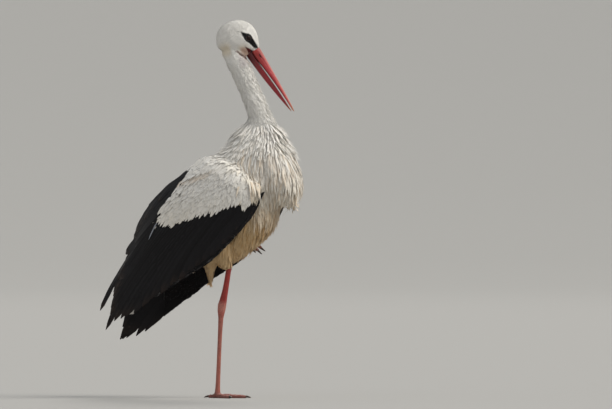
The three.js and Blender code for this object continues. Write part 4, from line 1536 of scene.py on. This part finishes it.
# Lamps: name, how far round from the camera, how high, strength, softness, colour.
SUNS = (
    ("key", 70, 50, 2.9, 38, (1.0, 0.965, 0.90)),
    ("fill", -45, 20, 0.5, 60, (0.94, 0.97, 1.0)),
    ("rim", 165, 40, 1.0, 20, (1.0, 0.96, 0.90)),
)


def floor():
    """A pale floor that curves up far away all round, so that no edge shows behind the bird."""
    pick_none()
    bpy.ops.mesh.primitive_circle_add(vertices=96, radius=FLOOR_FLAT, fill_type="NGON")
    piece = bpy.context.object
    piece.name = "floor"
    bpy.ops.object.mode_set(mode="EDIT")
    bpy.ops.mesh.select_all(action="DESELECT")
    bpy.ops.mesh.select_mode(type="EDGE")
    bpy.ops.mesh.select_all(action="SELECT")
    bpy.ops.mesh.region_to_loop()
    radius, height = FLOOR_FLAT, 0
    for k in range(1, FLOOR_RINGS + 1):
        angle = math.radians(k * FLOOR_RING_TURN)
        wider = FLOOR_FLAT + FLOOR_CURVE * math.sin(angle)
        higher = FLOOR_CURVE * (1 - math.cos(angle))
        extruded((0, 0, higher - height), (wider / radius, wider / radius, 1))
        radius, height = wider, higher
    faced_out()
    if piece.data.polygons[0].normal.z < 0:
        piece.data.flip_normals()
    bpy.ops.object.shade_smooth_by_angle(angle=math.radians(30))
    material, _, shader = finish("floor", 0.9, 0.2)
    shader.inputs["Base Color"].default_value = (*FLOOR_GREY, 1)
    piece.data.materials.append(material)


def stage():
    """Floor, soft lamps, an even pale sky and the camera."""
    floor()
    world = bpy.data.worlds.new("studio")
    world.use_nodes = True
    sky = world.node_tree.nodes["Background"]
    sky.inputs["Color"].default_value = (*SKY, 1)
    sky.inputs["Strength"].default_value = SKY_STRENGTH
    bpy.context.scene.world = world
    bpy.context.scene.view_settings.view_transform = "Standard"
    for name, turn, height, strength, softness, colour in SUNS:
        lamp = bpy.data.lights.new(name, "SUN")
        lamp.energy = strength
        lamp.angle = math.radians(softness)
        lamp.color = colour
        holder = in_scene(name, lamp)
        holder.rotation_euler = (math.radians(90 - height), 0, VIEW_TURN + math.radians(turn))
    right = Vector((math.cos(VIEW_TURN), math.sin(VIEW_TURN), 0))
    back = Vector((math.sin(VIEW_TURN), -math.cos(VIEW_TURN), 0))
    camera = bpy.data.cameras.new("camera")
    camera.lens = camera.sensor_width * VIEW_DISTANCE / VIEW_WIDTH
    camera.clip_end = VIEW_END
    holder = in_scene("camera", camera)
    holder.location = right * VIEW_ACROSS + Vector((0, 0, VIEW_HEIGHT)) + back * VIEW_DISTANCE
    holder.rotation_euler = (math.radians(90), 0, VIEW_TURN)
    bpy.context.scene.camera = holder


# ------------------------------------------------------------------ the bird

UNDER_FEATHERS = 0.8                   # the covered skin's brightness beside its plumage's


def whole_skin(body, legs, lids, marks, source):
    """Body, lids and bare legs as one skin: the body's skin is toned like the plumage over it."""
    parts = marks[source.nearest(places_of(body))[2]]
    black = np.isin(parts, [i for i, name in enumerate(BODY_NODES) if "secondaries" in name]).astype(float)
    tone = tones(places_of(body), black)
    head = in_head(places_of(body))
    bare = smoothstep(0.5, 0, np.minimum(outside_mask(head), outside_gape(head)))
    painted(body, tone * (UNDER_FEATHERS + (1 - UNDER_FEATHERS) * bare[:, None]))
    soft = skin_finish()
    for piece in (body, *lids):
        piece.data.materials.append(soft)
    legs.data.materials.append(leg_finish())
    skin = joined([body, legs, *lids], "skin")
    bpy.ops.object.shade_smooth()
    return skin


MASK_FROM_EYE = 6.9                    # how near the eye's middle black feathers grow
FACE_FROM_EYE = 7.3                    # and white ones


def from_eye(head_points):
    return np.linalg.norm(head_points[:, [0, 2]] - EYE_PLACE[:2], axis=1)


def bare_face(head_points):
    """Whether places on the head stay free of white feathers."""
    bill_root = (head_points[:, 0] > BILL_ROOT - 1) & (head_points[:, 2] > 2)
    pale = np.linalg.norm(head_points[:, [0, 2]] - CHEEK, axis=1) < 3.2
    fold = beside(head_points[:, [0, 2]], JAW_FOLD)[0] < 1.5
    return pale | fold | (outside_mask(head_points) < -0.2) | (outside_gape(head_points) < 0.2) | (
        from_eye(head_points) < FACE_FROM_EYE) | bill_root


def off_mask(head_points):
    """Whether places on the head stay free of black feathers."""
    bill_root = head_points[:, 0] > BILL_ROOT - 3
    near_eye = from_eye(head_points) < MASK_FROM_EYE
    return (outside_mask(head_points) > 0.5) | near_eye | bill_root


FINE_LENGTH = 22                       # feathers shorter than this have the finish of the head
HEAD_START = 774                       # heights that bound the sets of small feathers
NECK = (700, 778)
LOW_NECK = (630, 706)
COLLAR = (575, 640)
BREAST = (440, 590)
MANTLE = (400, 600)
BELLY_TOP = 470
RUMP_TOP = 430
GARTER_TOP = 330
WHITE_EDGE = 518                       # the white and the black feathers along a wing's upper edge
BLACK_EDGE = 250                       # grow above these
FACE_END = -12                         # along the head, where its face ends and its crown begins
MANTLE_ALONG = (-118, 95)              # along the body
BELLY_REAR = -90
RUMP_REAR = -150
WRIST = (80, 468)                      # [x, z] in front of and above which the wing's front is covered
WING_DEEP = 34                         # trunk further out than this is covered by a wing, where the
WING_INSIDE = 16                       # wing reaches this much further all round
FOREWING_X = 20                        # behind it and below SHOULDER_Z the wings hide more of the trunk
SHOULDER_Z = 536


def between(values, limits):
    return (values > limits[0]) & (values <= limits[1])


def plumage(coat, faces, down, fine):
    """All the small feathers, finest on the face."""
    x, y, z = (coat.middle / MM).T
    head = coat.head
    on_head = z > HEAD_START
    front = head[:, 0] > FACE_END
    covered = np.zeros(len(x), bool)
    for face in faces.values():
        deep = y * face.way > WING_DEEP
        for step in ((WING_INSIDE, 0), (-WING_INSIDE, 0), (0, WING_INSIDE), (0, -WING_INSIDE)):
            deep &= face.covers(np.stack([x, z], axis=1) + step)
        low = (x < FOREWING_X) & (z < SHOULDER_Z) & (y * face.way > np.where(z < 450, 14, 18))
        covered |= deep | (low & face.covers(np.stack([x, z], axis=1)))
    trunk = coat.on("trunk") & ~covered
    collar = trunk & between(z, COLLAR)
    thighs = coat.on("leg_right_thigh", "leg_left_thigh")
    garter = coat.on("leg_right_thigh") & (z < GARTER_TOP)
    overhang = coat.facing[:, 2] < -0.35
    breast = trunk & between(z, BREAST) & (x > MANTLE_ALONG[1]) & ~overhang
    mantle = trunk & between(z, MANTLE) & between(x, MANTLE_ALONG)
    belly = trunk & (x > BELLY_REAR) & ((z <= BELLY_TOP) | (overhang & (z <= BREAST[1])))
    rump = (z <= RUMP_TOP) & (x > RUMP_REAR) & (coat.on("tail") | (trunk & (x <= BELLY_REAR)))
    coverts = coat.on("wing_right_coverts", "wing_left_coverts")
    secondaries = coat.on("wing_right_secondaries", "wing_left_secondaries")
    wing_front = coverts & (coat.facing[:, 0] > 0.2) & (x > WRIST[0]) & (z > WRIST[1])
    outward = coat.facing[:, 1] * np.sign(y)
    wing_top = (outward < 0.6) & (coat.facing[:, 2] > -0.3) & (np.abs(y) > 12)
    white_top = coverts & wing_top & (z > WHITE_EDGE)
    black_top = secondaries & wing_top & (z > BLACK_EDGE)
    # Each set: name, where it grows, spacing, length, half width, rise of the tips, outline, the rest.
    sets = (
        ("feathers_mask", on_head & front, 1.1, 2.4, 0.36, 0.6, HAIR, {"black": 1, "bare": off_mask}),
        ("feathers_face", on_head & front, 0.93, 6.2, 0.6, 0.4, BARB,
         {"across": FLAT, "wander": 0.1, "bare": bare_face}),
        ("feathers_crown", on_head & ~front, 1.05, 9.5, 0.75, 0.75, BARB,
         {"across": FLAT, "wander": 0.14, "ruffle": 0.6, "bare": bare_face}),
        ("feathers_neck_upper", between(z, NECK), 1.25, 14, 0.85, 1.4, BARB,
         {"across": FLAT, "wander": 0.12, "ruffle": 0.5, "front": 1.4}),
        ("feathers_neck_lower", between(z, LOW_NECK), 1.5, 20, 1.05, 2.2, BARB,
         {"across": FLAT, "wander": 0.14, "ruffle": 0.6, "front": 1.2}),
        ("feathers_collar", collar, 3.0, 34, 2.0, 5, LANCE,
         {"cling": 0.85, "ruffle": 0.8, "front": 0.7, "streaks": 0.15}),
        ("feathers_breast", breast, 3.7, 58, 2.5, 5, LANCE, {"cling": 0.6, "ruffle": 0.4, "streaks": 0.5}),
        ("feathers_wrist", wing_front, 3.0, 24, 2.0, 2.0, LANCE, {"ruffle": 0.4, "wander": 0.1}),
        ("feathers_shoulder", white_top, 3.4, 28, 2.6, 2.5, LANCE, {"ruffle": 0.3, "wander": 0.1}),
        ("feathers_wing_edge", black_top, 4.0, 36, 3.4, 1.6, LANCE,
         {"black": 1, "ruffle": 0.3, "wander": 0.06}),
        ("feathers_mantle", mantle, 4.2, 36, 3.4, 5, LANCE, {"cling": 0.9}),
        ("feathers_belly", belly, 3.9, 38, 2.6, 4, LANCE, {"cling": 0.7, "ruffle": 0.4, "streaks": 0.5}),
        ("feathers_rump", rump, 4.2, 30, 3.4, 4, LANCE, {"cling": 0.95}),
        ("feathers_thighs", thighs, 3.1, 26, 2.0, 3.5, LANCE,
         {"cling": 0.6, "ruffle": 0.4, "streaks": 0.4}),
        ("feathers_garter", garter, 2.2, 34, 1.6, 3, LANCE, {"cling": 0.8, "ruffle": 0.5, "streaks": 0.4}),
    )
    grown = []
    for *measures, others in sets:
        material = fine if measures[3] < FINE_LENGTH else down
        grown.append(coat.grow(*measures, material=material, **others))
    return grown


def kept(piece, slot, *replaced):
    """Hands a piece over: its body and the nodes that it stands for; its slot is not used."""
    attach(piece, "root")
    if replaced:
        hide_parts(*replaced)


def stork():
    """Every piece of the bird, with its finish."""
    body, source, marks = body_skin()
    coat = Coat(body, source, marks)
    lids = [eyelids(side, coat.surface) for side in SIDES]
    down, black_vane, fine, white_vane = (feather_finish(*row) for row in FEATHER_FINISHES)
    faces = {side: WingFace(side) for side in SIDES}
    for piece in plumage(coat, faces, down, fine):
        dark = piece.name in ("feathers_mask", "feathers_wing_edge")
        kept(piece, "plumage_black" if dark else "plumage_white")
    for side, face in faces.items():
        flights, tertials = (flight(side, face, coat, *row, black_vane) for row in VANE_SETS)
        kept(flights, "plumage_black", f"wing_{side}_secondaries", f"wing_{side}_primaries")
        kept(tertials, "plumage_black")
        for piece in wing_whites(side, face, coat, down):
            kept(piece, "plumage_white")
    kept(tail_feathers(coat, source, white_vane), "plumage_white", "tail")
    skin = whole_skin(body, leg_skin(), lids, marks, source)
    flesh = [name for name in BODY_NODES if "secondaries" not in name and name != "tail"]
    kept(skin, "leg", *flesh, *LEG_NODES)
    horn = bill_finish()
    for name, piece in bill().items():
        piece.data.materials.append(horn)
        kept(piece, "bill", name.removesuffix("_horn"))
    wet = eye_finish()
    for side in SIDES:
        piece = eyeball(side)
        piece.data.materials.append(wet)
        kept(piece, "eye", f"eye_{side}")
    dark_horn = claw_finish()
    for piece, name in claws():
        piece.data.materials.append(dark_horn)
        kept(piece, "claw", name)


stage()
stork()
